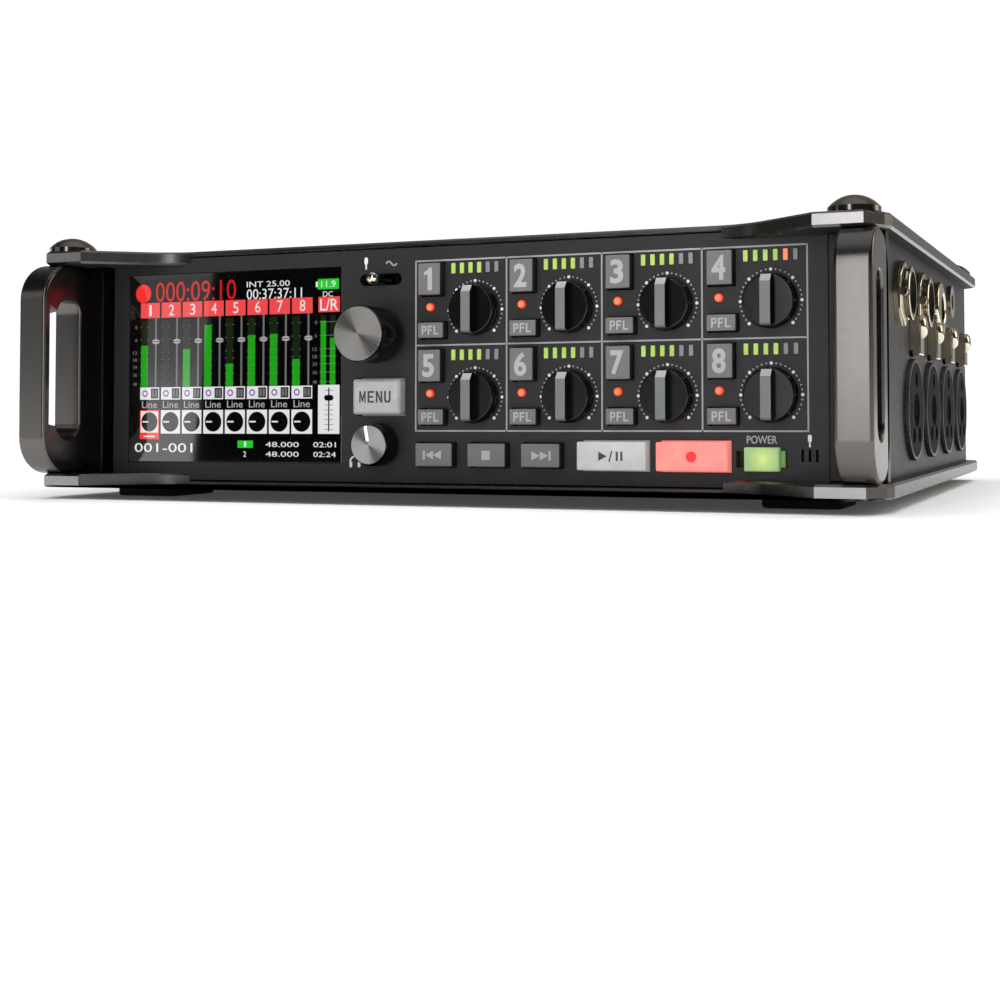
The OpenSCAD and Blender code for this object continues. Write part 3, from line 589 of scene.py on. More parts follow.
def build_handles():
    for node in ("left_handle", "right_handle"):
        low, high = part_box(node)
        side = 1 if low[0] > 0 else -1
        outer = side * max(abs(low[0]), abs(high[0]))
        near = side * min(abs(low[0]), abs(high[0]))
        piece = Piece(f"{node}_bar", CASE, "anodised_bar", node)
        piece.add(handle_ring(low, high, outer, outer - side * RING_W), "bar")
        # The foot block fills the gap between the ring and the panel; its near-black finish is painted shade
        # for that gap.
        foot = round_rect((near + outer) / 2, (low[2] + high[2]) / 2, RING_W + FOOT_STEP, high[2] - low[2])
        piece.add(prism(foot, "y", PANEL_Y - 3 * MM, high[1], 0.3 * MM), "bar_foot_painted_shade")
        piece.done()


def build_case():
    for node, finish in (("chassis", "case"), ("front_panel", "panel"), ("main_board", "board"),
                         ("encoder_shaft", "steel")):
        dress(node, finish)
    copied("feet", CASE, "rubber", "rubber_feet", "rubber", FOOT_EDGE_R, 3,
           past(2, 0.1 * MM, -1, any)).done()
    copied("screws", CASE, "steel", "cover_screws", "screw", 0.1 * MM, 2,
           past(2, TOP - 1.8 * MM, 1, any)).done()


# ---- front panel print ----

LINE_W = 0.3 * MM
FRAME_LEFT = KNOBS[1].x - 12.85 * MM
FRAME_TOP = KNOBS[1].z + 9.87 * MM
FRAME_MID = KNOBS[1].z - 6.64 * MM
FRAME_LOW = KNOBS[1].z - 23.28 * MM
DIAL_R = 5.67 * MM
DOT_R = 0.31 * MM
SMALL_DOT_R = 0.16 * MM
DIAL_SWEEP = 135
MINOR_DOTS = 4


def ink(piece, outline, finish="ink"):
    piece.add(prism(outline, "y", PANEL_Y - INK, PANEL_Y), finish, smooth=False)


def stroke(a, b, width):
    """Outline of a straight line of a given width."""
    a, b = Vector(a), Vector(b)
    n = (b - a).normalized().orthogonal() * width / 2
    return [tuple(a + n), tuple(a - n), tuple(b - n), tuple(b + n)]


def print_frames(piece):
    right = FRAME_LEFT + 4 * PITCH_X
    for k in range(5):
        x = FRAME_LEFT + k * PITCH_X
        ink(piece, round_rect(x, (FRAME_TOP + FRAME_LOW) / 2, LINE_W, FRAME_TOP - FRAME_LOW + LINE_W))
    for z in (FRAME_TOP, FRAME_MID, FRAME_LOW):
        ink(piece, round_rect((FRAME_LEFT + right) / 2, z, right - FRAME_LEFT, LINE_W))


def print_dial(piece, centre):
    steps = (MINOR_DOTS + 1) * 6
    for i in range(steps + 1):
        a = math.radians(90 + DIAL_SWEEP - 2 * DIAL_SWEEP * i / steps)
        r = DOT_R if i % (MINOR_DOTS + 1) == 0 else SMALL_DOT_R
        ink(piece, disc(centre.x + DIAL_R * math.cos(a), centre.z + DIAL_R * math.sin(a), r, 10),
            "dot_ink" if r == DOT_R else "key_ink")


def print_mic(piece, x, z, size):
    """Small microphone: a capsule on a stem."""
    ink(piece, round_rect(x, z + 0.2 * size, 0.32 * size, 0.6 * size, 0.15 * size), "dot_ink")
    ink(piece, round_rect(x, z - 0.3 * size, 0.14 * size, 0.4 * size), "dot_ink")


def print_tone(piece, x, z, size):
    """Small sine wave."""
    turn = [(x + size * (i / 12 - 0.5), z + 0.18 * size * math.sin(2 * math.pi * i / 12)) for i in range(13)]
    for a, b in zip(turn, turn[1:]):
        ink(piece, stroke(a, b, 0.13 * size))


def print_headphones(piece, x, z, size):
    """Headband with two ear cups."""
    band = 0.42 * size
    turn = [(x + band * math.cos(math.pi * i / 12), z + band * math.sin(math.pi * i / 12)) for i in range(13)]
    for a, b in zip(turn, turn[1:]):
        ink(piece, stroke(a, b, 0.14 * size), "dot_ink")
    for s in (-1, 1):
        cup = round_rect(x + s * 0.36 * size, z - 0.2 * size, 0.24 * size, 0.42 * size, 0.08 * size)
        ink(piece, cup, "dot_ink")


def build_print():
    piece = Piece("panel_print", CASE, "front_panel")
    print_frames(piece)
    for n in CHANNELS:
        print_dial(piece, KNOBS[n])
    print_mic(piece, ENCODER.x - 3.3 * MM, KNOBS[1].z + 9.9 * MM, 2.4 * MM)
    print_tone(piece, ENCODER.x + 2.4 * MM, KNOBS[1].z + 9.7 * MM, 2.4 * MM)
    print_headphones(piece, ENCODER.x - 5.7 * MM, VOLUME.z - 3.5 * MM, 2.6 * MM)
    power = centre_of("power_slider")
    piece.add(lettering("POWER", power.x - 0.2 * MM, power.z + 3.5 * MM, 1.45 * MM, 5.6 * MM, PANEL_Y, 0.012),
              "key_ink", smooth=False)
    print_mic(piece, power.x + 8.5 * MM, power.z + 3.3 * MM, 2.2 * MM)
    piece.done()


# ---- knobs, keys and switches ----


CAP_RECESS = 0.06
POINTER_LEAN = 10
SKIRT = ((0, 0.25), (4.8, 0.25), (5.0, 0.4), (5.0, 1.0), (4.93, 1.13), (4.83, 1.2), (4.78, 1.35), (4.74, 2.0),
         (4.68, 2.2), (4.55, 2.3), (4.42, 2.3), (0, 2.28))
# The caps' turned look is a painted sheen in their base colour.
spun("encoder_cap", (0.43, 0.415, 0.4), ENCODER, -1.78)
spun("volume_cap", (0.47, 0.47, 0.48), VOLUME, -1.4)
# The volume pointer mark glows though the knob holds no lamp: a painted glow.
lamp_plastic("pointer_mark_painted_glow", (0.9, 0.9, 0.9), (1.0, 1.0, 1.0), 0.5)


def add_shaft(piece, c):
    """The length of shaft that shows between a knob and the panel."""
    shaft = side_view(((0, -0.3), (1.5, -0.3), (1.5, 0.3), (0, 0.3)), PANEL_Y, -1)
    piece.add(lathe(shaft, "y", c.x, c.z, 32), "steel")


def build_channel_knob(n):
    c = KNOBS[n]
    piece = Piece(f"channel_knob_{n}", f"knob_{n}", "knob_black", f"knob_{n}")
    piece.add(lathe(side_view(SKIRT, PANEL_Y, -1), "y", c.x, c.z, 72), "knob")
    add_shaft(piece, c)
    # fin: side outline in (Y, Z), pushed along X
    half = 4.5 * MM
    front, rear = front_of(f"knob_{n}"), PANEL_Y - 1.4 * MM
    side = [(rear, c.z - half), (front + 0.4 * MM, c.z - half), (front, c.z - half + 0.35 * MM),
            (front, c.z + half - 1.25 * MM), (front + 0.95 * MM, c.z + half), (rear, c.z + half)]
    fin = prism(side, "x", c.x - 0.98 * MM, c.x + 0.98 * MM)
    long_edges = [e for e in fin.edges if max(v.co.y for v in e.verts) < rear - 0.2 * MM
                  and abs(e.verts[0].co.x - e.verts[1].co.x) < 1e-7]
    bmesh.ops.bevel(fin, geom=long_edges, offset=0.08 * MM, segments=2, profile=0.5, affect="EDGES")

    def grey_face(face):
        if face.normal.y > -0.3 or abs(face.normal.x) > 0.5:
            return "knob"
        # Faces of the fin's front that look upwards get the lighter grey: a painted highlight.
        return "pointer_tip_painted_highlight" if face.normal.z > 0.3 else "pointer"

    piece.add(fin, grey_face)
    piece.done()


def turned_knob(name, node, rear, back, nose, cap_edge, flutes, depth, finish, shaft=False):
    """Fluted knob with a metal cap; back runs from its rear plane, nose and cap_edge from its front."""
    c, front = centre_of(node), front_of(node)
    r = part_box(node)[1][0] - c.x
    side = [(0, rear)] + inset(r, rear, back) + inset(r, front, nose)
    side.append((0, side[-1][1]))
    fluted = (len(back), len(back) + 1)
    piece = Piece(name, node, "knob_black", node)
    piece.add(lathe(side, "y", c.x, c.z, 2 * flutes, flutes, depth, fluted), "knob")
    if shaft:
        add_shaft(piece, c)
    piece.done()
    cap = Piece(f"{name}_cap", node, "steel")
    edge = inset(r, front, cap_edge)
    cap.add(lathe([(0, edge[0][1])] + edge + [(0, edge[-1][1])], "y", c.x, c.z, 96), finish)
    return cap, c, front


def build_encoder():
    cap = turned_knob("menu_encoder", "encoder_knob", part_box("encoder_knob")[1][1],
                      ((0.5, 0), (0.1, -0.3), (0.1, -0.9), (0, -1.1)), ((0, 0.9), (0.12, 0.55), (0.3, 0.2)),
                      ((0.3, 0.2), (0.3, 0.1), (0.42, 0), (0.55, 0), (0.6, CAP_RECESS)),
                      96, 0.09 * MM, "encoder_cap")[0]
    cap.done()


def build_volume():
    cap, c, front = turned_knob("phones_knob", "volume_knob", PANEL_Y - 0.3 * MM, ((0.3, 0), (0, -0.25)),
                                ((0, 0.9), (0.15, 0.4), (0.4, 0.15)), ((0.4, 0.15), (0.4, 0.08), (0.5, 0)),
                                72, 0.07 * MM, "volume_cap", True)
    lean = math.radians(POINTER_LEAN)
    across, up = Vector((math.cos(lean), math.sin(lean))), Vector((-math.sin(lean), math.cos(lean)))
    mark = [Vector((c.x, c.z)) + across * u * MM + up * v * MM
            for u, v in ((-0.3, 0.7), (0.3, 0.7), (0.3, 3.7), (-0.3, 3.7))]
    # The white pointer mark carries a painted glow.
    cap.add(prism([tuple(m) for m in mark], "y", front - 2 * INK, front + 0.05 * MM), "pointer_mark_painted_glow",
            smooth=False)
    cap.done()


KEY_EDGE_R = 0.28 * MM
MENU_EDGE_R = 0.6 * MM
ARROW = 1.7


def key_piece(node, finish, slot="grey_key", edge=KEY_EDGE_R):
    """A CAD key with rounded cap edges. Returns the piece, its centre on the panel and its front plane."""
    low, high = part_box(node)
    y = low[1]
    piece = Piece(f"{node}_cap", node, slot, node)
    # Side walls of the grey keys get a near-black finish: painted shade on the sides.
    side = {"key": "key_side_painted_shade", "menu": "menu_rim_painted_shade"}.get(finish, finish)
    # On the MENU key every face not square to the front gets the dimmer rim copy: painted shade.
    flat = -0.97 if finish == "menu" else -0.35
    piece.add(cad_copy(node, edge, 3, at_plane(1, y), clamp=False),
              lambda face: finish if face.normal.y < flat else side)
    return piece, (low[0] + high[0]) / 2, (low[2] + high[2]) / 2, y


def symbol(piece, y, x, z, outline, finish="key_ink"):
    piece.add(prism([(x + u * MM, z + v * MM) for u, v in outline], "y", y - INK, y), finish, smooth=False)


def triangle(u, direction):
    """Arrow head whose tip points along direction."""
    half = direction * ARROW / 2
    points = [(u - half, -ARROW / 2), (u + half, 0), (u - half, ARROW / 2)]
    return points if direction > 0 else points[::-1]


LETTER_GAP = 0.22
GLYPHS = {
    "M": [[(0, 0), (0.2, 0), (0.2, 0.6), (0.42, 0.08), (0.58, 0.08), (0.8, 0.6), (0.8, 0), (1, 0), (1, 1),
           (0.74, 1), (0.5, 0.42), (0.26, 1), (0, 1)]],
    "E": [[(0, 0), (1, 0), (1, 0.17), (0.3, 0.17), (0.3, 0.42), (0.9, 0.42), (0.9, 0.58), (0.3, 0.58),
           (0.3, 0.83), (1, 0.83), (1, 1), (0, 1)]],
    "F": [[(0, 0), (0.3, 0), (0.3, 0.42), (0.9, 0.42), (0.9, 0.59), (0.3, 0.59), (0.3, 0.83),
           (1, 0.83), (1, 1), (0, 1)]],
    "N": [[(0, 0), (0.26, 0), (0.26, 0.64), (0.74, 0), (1, 0), (1, 1), (0.74, 1),
           (0.74, 0.36), (0.26, 1), (0, 1)]],
    "U": [[(0, 1), (0, 0.18), (0.2, 0), (0.8, 0), (1, 0.18), (1, 1), (0.72, 1), (0.72, 0.24), (0.64, 0.17),
           (0.36, 0.17), (0.28, 0.24), (0.28, 1)]],
    "P": [[(0, 0), (0.3, 0), (0.3, 1), (0, 1)],
          [(0.3, 0.38), (0.8, 0.38), (1, 0.52), (1, 0.86), (0.8, 1), (0.3, 1), (0.3, 0.84), (0.64, 0.84),
           (0.7, 0.79), (0.7, 0.59), (0.64, 0.54), (0.3, 0.54)]],
    "L": [[(0, 0), (1, 0), (1, 0.17), (0.3, 0.17), (0.3, 1), (0, 1)]],
    "1": [[(0.45, 0), (1, 0), (1, 1), (0.62, 1), (0.42, 0.88), (0, 0.82), (0, 0.66), (0.45, 0.72)]],
}


def block_letters(piece, text, u, v, height, width, y, finish):
    """Condensed bold letters from straight-sided glyphs."""
    step = width / (len(text) - LETTER_GAP * (len(text) > 1))
    wide = step * (1 - LETTER_GAP) if len(text) > 1 else width
    for k, letter in enumerate(text):
        left = u - width / 2 + k * step
        for outline in GLYPHS[letter]:
            points = [(left + a * wide, v + (b - 0.5) * height) for a, b in outline]
            piece.add(prism(points, "y", y - INK, y), finish, smooth=False)


def build_channel_keys(n):
    piece, x, z, y = key_piece(f"track_key_{n}", "key")
    if n == 1:
        block_letters(piece, "1", x - 0.15 * MM, z, 4.4 * MM, 1.75 * MM, y, "key_ink")
    else:
        piece.add(lettering(str(n), x - 0.1 * MM, z, 4.5 * MM, 2.6 * MM, y, 0.032), "key_ink", smooth=False)
    piece.done()
    piece, x, z, y = key_piece(f"pfl_key_{n}", "key")
    block_letters(piece, "PFL", x, z, 1.75 * MM, 3.6 * MM, y, "key_ink")
    piece.done()


def build_transport():
    pair = (-0.85, 0.85)
    slash = [(-0.45, -1.0), (-0.2, -1.0), (0.35, 1.0), (0.1, 1.0)]
    keys = (
        ("rewind_key", "key", "grey_key", "key_ink",
         [round_rect(-2.0, 0, 0.45, ARROW)] + [triangle(u, -1) for u in pair]),
        ("stop_key", "key", "grey_key", "key_ink", [round_rect(0, 0, 1.75, 1.75)]),
        ("forward_key", "key", "grey_key", "key_ink",
         [triangle(u, 1) for u in pair] + [round_rect(2.0, 0, 0.45, ARROW)]),
        ("play_key", "play", "lit_key_white", "menu_ink",
         [triangle(-1.6, 1), slash] + [round_rect(u, 0, 0.4, ARROW) for u in (1.2, 2.1)]),
        ("record_key", "record", "lit_key_red", "record_dot", [disc(0, 0, 1.0, 28)]),
    )
    for node, finish, slot, mark, outlines in keys:
        piece, x, z, y = key_piece(node, finish, slot)
        for outline in outlines:
            symbol(piece, y, x, z, outline, mark)
        piece.done()
    piece, x, z, y = key_piece("menu_key", "menu", "lit_key_white", MENU_EDGE_R)
    block_letters(piece, "MENU", x - 0.2 * MM, z, 2.3 * MM, 7.0 * MM, y, "menu_ink")
    piece.done()


def build_switches():
    c = centre_of("slate_toggle")
    front = front_of("slate_toggle")
    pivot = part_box("slate_toggle")[1][1] - 1.2 * MM
    lever = copied("slate_lever", "slate_toggle", "warm_chrome", "slate_toggle", "chrome")
    bat = [(0, pivot), (0.8, pivot), (0.8, PANEL_Y), (0.85, PANEL_Y - 0.4 * MM), (0.78, front + 2.4 * MM),
           (0.95, front + 2.0 * MM), (1.2, front + 1.5 * MM), (1.25, front + 1.0 * MM),
           (1.05, front + 0.4 * MM), (0.6, front + 0.08 * MM), (0, front)]
    lever.add(lathe([(r * MM, y) for r, y in bat], "y", c.x, c.z, 40), "chrome")
    lever.done()
    cap = centre_of("power_slider")
    hot_spot("power_cap", (0.32, 0.42, 0.22), cap + Vector((0.3 * MM, 0, 0)), 3.0 * MM,
             (0.75, 0.9, 0.12), (0.16, 0.34, 0.10), 0.62)
    copied("power_cap", "power_slider", "lit_key_green", "power_slider", "power_cap", 0.3 * MM, 3,
           at_plane(1, front_of("power_slider"))).done()


# ---- lights behind the panel ----

LEVELS = 6
LEVEL_DZ = 8.2 * MM
LEVEL_PITCH = 1.84 * MM
HOT_CHANNEL = 4
LED_DX = -9.6 * MM
LED_DZ = 0.8 * MM
LED_DOME = ((0, 0.02), (0.82, 0.02), (0.8, 0.42), (0.62, 0.62), (0.34, 0.76), (0, 0.8))


def build_lights():
    board_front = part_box("control_board")[0][1]
    panel_back = PANEL_HIGH.y

    def lens(face):
        """Lenses that come through the panel, the board and what stands on it."""
        c = middle(face)
        if c.y > panel_back + 2 * MM:
            # Parts deep behind the panel, big board faces aside, are painted near black: painted shade.
            return "board" if abs(face.normal.y) > 0.9 and face.calc_area() > 1e-4 else "hollow_painted_shade"
        near = min(CHANNELS, key=lambda n: (KNOBS[n] - Vector((c.x, KNOBS[n].y, c.z))).length)
        dx, dz = c.x - KNOBS[near].x, c.z - KNOBS[near].z
        if c.y > panel_back:
            return "steel"
        if dx < -8.5 * MM:
            return "led_red"
        if dz > 6.5 * MM:
            level = round(dx / LEVEL_PITCH + 2.5)
            if near == HOT_CHANNEL and level == LIT_LEVELS:
                return "level_hot"
            return "level_lit" if level < LIT_LEVELS else "level_off"
        return "steel"

    piece = copied("controls", CASE, "circuit_board", "control_board", lens, 0.1 * MM, 2,
                   at_plane(1, board_front))
    for n in CHANNELS:
        x, z = KNOBS[n].x + LED_DX, KNOBS[n].z + LED_DZ
        piece.add(lathe(side_view(LED_DOME, PANEL_Y, -1), "y", x, z, 24),
                  lambda face: "led_core" if middle(face).y < PANEL_Y - 0.64 * MM else "led_red")
        for i in range(LEVELS):
            bar = round_rect(KNOBS[n].x + (i - 2.5) * LEVEL_PITCH, KNOBS[n].z + LEVEL_DZ,
                             0.84 * MM, 2.04 * MM, 0.14 * MM)
            hot = n == HOT_CHANNEL and i == LIT_LEVELS
            finish = "level_hot" if hot else "level_lit" if i < LIT_LEVELS else "level_off"
            piece.add(prism(bar, "y", PANEL_Y - 0.32 * MM, PANEL_Y - 0.05 * MM, 0.1 * MM), finish)
    piece.done()


# ---- screen ----

PIXEL_LIFT = 0.012 * MM
COLUMN_X0 = 2.8
COLUMN_PITCH = 5.32
COLUMN_W = 4.85
METER_LOW, METER_HIGH = 15.7, 29.7
METER_TOPS = (24.4, None, 23.5, 28.4, 20.3, 26.1, 26.2, 21.0)
MASTER_X = 46.25
MASTER_TOPS = (28.6, 25.1)
SCALE_ROWS = (28.3, 25.6, 22.9, 21.4, 19.9, 18.2, 16.3)


def build_screen():
    can_front = PANEL_Y + 1.25 * MM
    board_front = SCREEN_HIGH.y - 1.8 * MM

    def layer(face):
        y = middle(face).y
        return "screen" if y < can_front else "board" if y > board_front else "can"

    copied("screen_glass", CASE, "screen_glass", "display_module", layer, 0.12 * MM, 2,
           at_plane(1, SCREEN_LOW.y)).done()


class Picture:
    """Tiles and letters of the screen's picture, placed in millimetres from its lower left corner."""

    def __init__(self):
        self.piece = Piece("screen_picture", CASE, "screen_glass")
        self.y = SCREEN_LOW.y

    def shape(self, outline, finish, level=1):
        points = [(SCREEN_LOW.x + u * MM, SCREEN_LOW.z + v * MM) for u, v in outline]
        self.piece.add(prism(points, "y", self.y - level * PIXEL_LIFT, self.y), finish, smooth=False)

    def tile(self, left, low, w, h, finish, level=1, r=0.0):
        self.shape(round_rect(left + w / 2, low + h / 2, w, h, r), finish, level)

    def text(self, words, left, low, w, h, finish, level=2, bold=0.0):
        part = lettering(words, SCREEN_LOW.x + (left + w / 2) * MM, SCREEN_LOW.z + (low + h / 2) * MM,
                         h * MM, w * MM, self.y, bold, level * PIXEL_LIFT)
        self.piece.add(part, finish, smooth=False)


def draw_header(pic):
    pic.shape(disc(3.45, 35.4, 1.95, 32), "ui_red")
    pic.text("000:09:10", 6.6, 33.5, 20.0, 4.2, "ui_digits")
    pic.text("INT 25.00", 29.2, 35.9, 10.3, 1.15, "ui_white")
    pic.text("00:37:37:11", 29.2, 33.4, 13.2, 2.1, "ui_white")
    pic.tile(46.1, 34.9, 4.9, 2.1, "ui_bright_green")
    pic.tile(45.6, 35.4, 0.5, 1.1, "ui_white")
    pic.text("11.9", 46.9, 35.3, 3.3, 1.3, "ui_white")
    pic.text("DC", 47.3, 33.4, 2.3, 1.1, "ui_white")
    pic.tile(MASTER_X, 30.3, 4.95, 3.1, "ui_header")
    pic.text("L/R", MASTER_X + 0.4, 30.6, 4.2, 2.4, "ui_white", 2, 0.01)


def draw_scale(pic, x):
    for v, words in zip(SCALE_ROWS, ("0", "6", "12", "18", "24", "36", "48")):
        w = 0.5 * len(words)
        pic.text(words, x - w, v - 0.35, w, 0.7, "ui_grey")


def draw_column(pic, k, x0):
    pic.tile(x0, 30.2, COLUMN_W, 3.2, "ui_header")
    pic.text(str(k), x0 + (2.2 if k == 1 else 1.85), 30.65, 0.55 if k == 1 else 1.3, 2.3, "ui_white")
    pic.tile(x0 + 0.15, METER_LOW, 1.75, METER_HIGH - METER_LOW, "ui_dim")
    top = METER_TOPS[k - 1]
    if top:
        pic.tile(x0 + 0.15, METER_LOW, 1.75, top - METER_LOW, "ui_green", 2)
    for v in SCALE_ROWS:
        pic.tile(x0 - 0.05, v, 0.35, 0.12, "ui_grey", 3)
        pic.tile(x0 + 1.75, v, 0.35, 0.12, "ui_grey", 3)
    pic.tile(x0 + 3.7, METER_LOW, 0.42, 14.7, "ui_grey")
    pic.shape(disc(x0 + 3.91, 25.2, 0.98, 16, 0.52), "ui_light", 2)
    pic.tile(x0 + 2.93, 25.13, 1.96, 0.14, "ui_black", 3)
    pic.tile(x0, 13.0, COLUMN_W, 2.6, "ui_white")
    pic.shape(disc(x0 + 1.25, 14.3, 0.72, 16), "ui_violet", 2)
    pic.shape(disc(x0 + 1.25, 14.3, 0.42, 16), "ui_white", 3)
    pic.tile(x0 + 2.75, 13.25, 1.85, 2.1, "ui_black", 2)
    for d in (0.0, 0.75):
        pic.tile(x0 + 3.0 + d, 13.5, 0.55, 1.6, "ui_grey", 3)
    pic.text("Line", x0 + 0.5, 11.25, 3.8, 1.45, "ui_light")
    pic.tile(x0, 5.9, COLUMN_W, 4.9, "ui_red" if k == 1 else "ui_white")
    if k == 1:
        pic.tile(x0 + 0.2, 6.1, COLUMN_W - 0.4, 4.5, "ui_white", 2)
        pic.tile(x0, 4.7, COLUMN_W, 1.2, "ui_red")
        pic.tile(x0 + 1.0, 5.15, 2.8, 0.3, "ui_white", 2)
    pic.shape(disc(x0 + COLUMN_W / 2, 8.35, 2.05, 28), "ui_black", 3)
    pic.tile(x0 + 0.65, 8.2, 1.5, 0.32, "ui_white", 4)


def draw_master(pic):
    for x, top in zip((MASTER_X + 0.55, MASTER_X + 2.7), MASTER_TOPS):
        pic.tile(x, METER_LOW, 1.25, METER_HIGH - METER_LOW, "ui_dim")
        pic.tile(x, METER_LOW, 1.25, top - METER_LOW, "ui_green", 2)
    for v in SCALE_ROWS:
        pic.tile(MASTER_X + 0.3, v, 3.9, 0.12, "ui_grey", 3)
    pic.tile(MASTER_X, 5.9, 4.95, 9.8, "ui_white")
    pic.tile(MASTER_X + 2.35, 6.4, 0.3, 8.7, "ui_black", 2)
    for k in range(9):
        pic.tile(MASTER_X + 1.5, 6.7 + k * 0.98, 2.0, 0.12, "ui_grey", 3)
    pic.shape(disc(MASTER_X + 2.5, 13.1, 1.1, 16, 0.55), "ui_black", 4)


def draw_footer(pic):
    pic.text("001-001", 1.5, 2.0, 14.6, 1.9, "ui_white")
    pic.tile(27.2, 3.0, 3.7, 1.5, "ui_bright_green")
    pic.text("1", 28.8, 3.2, 0.45, 1.1, "ui_white")
    pic.text("2", 28.6, 1.2, 0.7, 1.1, "ui_white")
    for v in (3.2, 1.25):
        pic.text("48.000", 33.9, v, 7.9, 1.05, "ui_white")
        pic.text("02:24" if v < 2 else "02:01", 45.2, v, 5.2, 1.05, "ui_white")


def build_picture():
    pic = Picture()
    draw_header(pic)
    draw_scale(pic, 1.9)
    draw_scale(pic, MASTER_X - 0.3)
    for k in CHANNELS:
        draw_column(pic, k, COLUMN_X0 + (k - 1) * COLUMN_PITCH)
    draw_master(pic)
    draw_footer(pic)
    pic.piece.done()


for key, colour in (
    ("ui_red", (0.95, 0.028, 0.022)), ("ui_digits", (0.62, 0.010, 0.010)),
    ("ui_header", (0.93, 0.072, 0.075)), ("ui_white", (0.80, 0.80, 0.82)),
    ("ui_light", (0.42, 0.42, 0.42)), ("ui_grey", (0.16, 0.16, 0.16)),
    ("ui_green", (0.014, 0.36, 0.010)), ("ui_bright_green", (0.02, 0.62, 0.03)),
    ("ui_dim", (0.008, 0.018, 0.005)), ("ui_violet", (0.25, 0.12, 0.35)),
    ("ui_black", (0.001, 0.001, 0.001)),
):
    picture(key, colour)


# ---- connectors ----

SIDE_X = {side: side * (HALF_W - 2.6 * MM) for side in (-1, 1)}
JACKS = {n: centre_of(f"latch_{n}") for n in CHANNELS}
UPPER_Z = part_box("left_jacks")[0][2] + 6.4 * MM
JACK_RIM = ((0, -0.6), (0, 0.25), (0.2, 0.45), (0.7, 0.45), (0.95, 0.2), (1.0, 0))
JACK_COLLAR = ((4.3, 0), (4.25, 0.3), (4.0, 0.4), (3.45, 0.35), (3.3, 0.1), (3.3, -2.0))
JACK_PIN = ((2.0, 0), (1.95, 0.22), (1.55, 0.22), (1.5, -1.0))
PIN_ANGLES = (-55, 90, 235)
PIN_CIRCLE = 6 * MM
NUT_R = 6.15 * MM
coated("insulator", (0.55, 0.53, 0.48), 0.45, vary=0.06)


def outward(side, distance):
    """X of a plane that stands distance (mm) out from the combo jacks' faces."""
    return SIDE_X[side] + side * distance * MM


def ring_on_side(piece, side, y, z, profile, finish, steps=64):
    """Turned ring on a side wall: (radius, distance out from the combo jacks' faces) in millimetres."""
    piece.add(lathe(side_view(profile, SIDE_X[side], side), "x", y, z, steps), finish)


def build_combo_jacks():
    low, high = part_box("combo_jacks")
    jack_z = (low[2] + high[2]) / 2
    reach = (high[2] - low[2]) / 2
    piece = Piece("combo_sockets", CASE, "connector_plastic", "combo_jacks")

    def paint(face):
        c = middle(face)
        # Faces more than 2.2 mm inside the jack faces are painted near black: painted shade, darker with
        # depth.
        return "socket" if abs(c.x) > SIDE_X[1] - 2.2 * MM else "hollow_painted_shade"

    piece.add(cad_copy("combo_jacks", 0.25 * MM, 2,
                       lambda e: min(abs(v.co.x) for v in e.verts) > SIDE_X[1] - 0.05 * MM), paint)
    for n in CHANNELS:
        side = -1 if n < 5 else 1
        y = JACKS[n].y
        rim = [(reach - a * MM, outward(side, w)) for a, w in JACK_RIM]
        piece.add(lathe(rim, "x", y, jack_z, 64), "socket_rim")
        ring_on_side(piece, side, y, jack_z, JACK_COLLAR, "socket_rim", 48)
        for a in map(math.radians, PIN_ANGLES):
            ring_on_side(piece, side, y + PIN_CIRCLE * math.cos(a), jack_z + PIN_CIRCLE * math.sin(a),
                         JACK_PIN, "socket", 24)
    piece.done()


def build_latches():
    for n in CHANNELS:
        side = -1 if n < 5 else 1
        node = f"latch_{n}"
        low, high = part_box(node)
        tip = high[0] if side > 0 else low[0]
        piece = copied(f"release_{n}", node, "warm_chrome", node, "chrome", 0.35 * MM, 3, at_plane(0, tip))
        reach = min(high[1] - low[1], high[2] - low[2]) / 2
        mid_z = high[2] - reach
        pad = [(1.0, -0.3), (1.0, 0.1), (0.93, 0.45), (0.74, 0.8), (0.42, 1.0), (0, 1.05)]
        piece.add(lathe([(0, tip - side * 0.3 * MM)] + [(r * reach, tip + side * w * MM) for r, w in pad],
                        "x", JACKS[n].y, mid_z, 40), "chrome")
        piece.done()


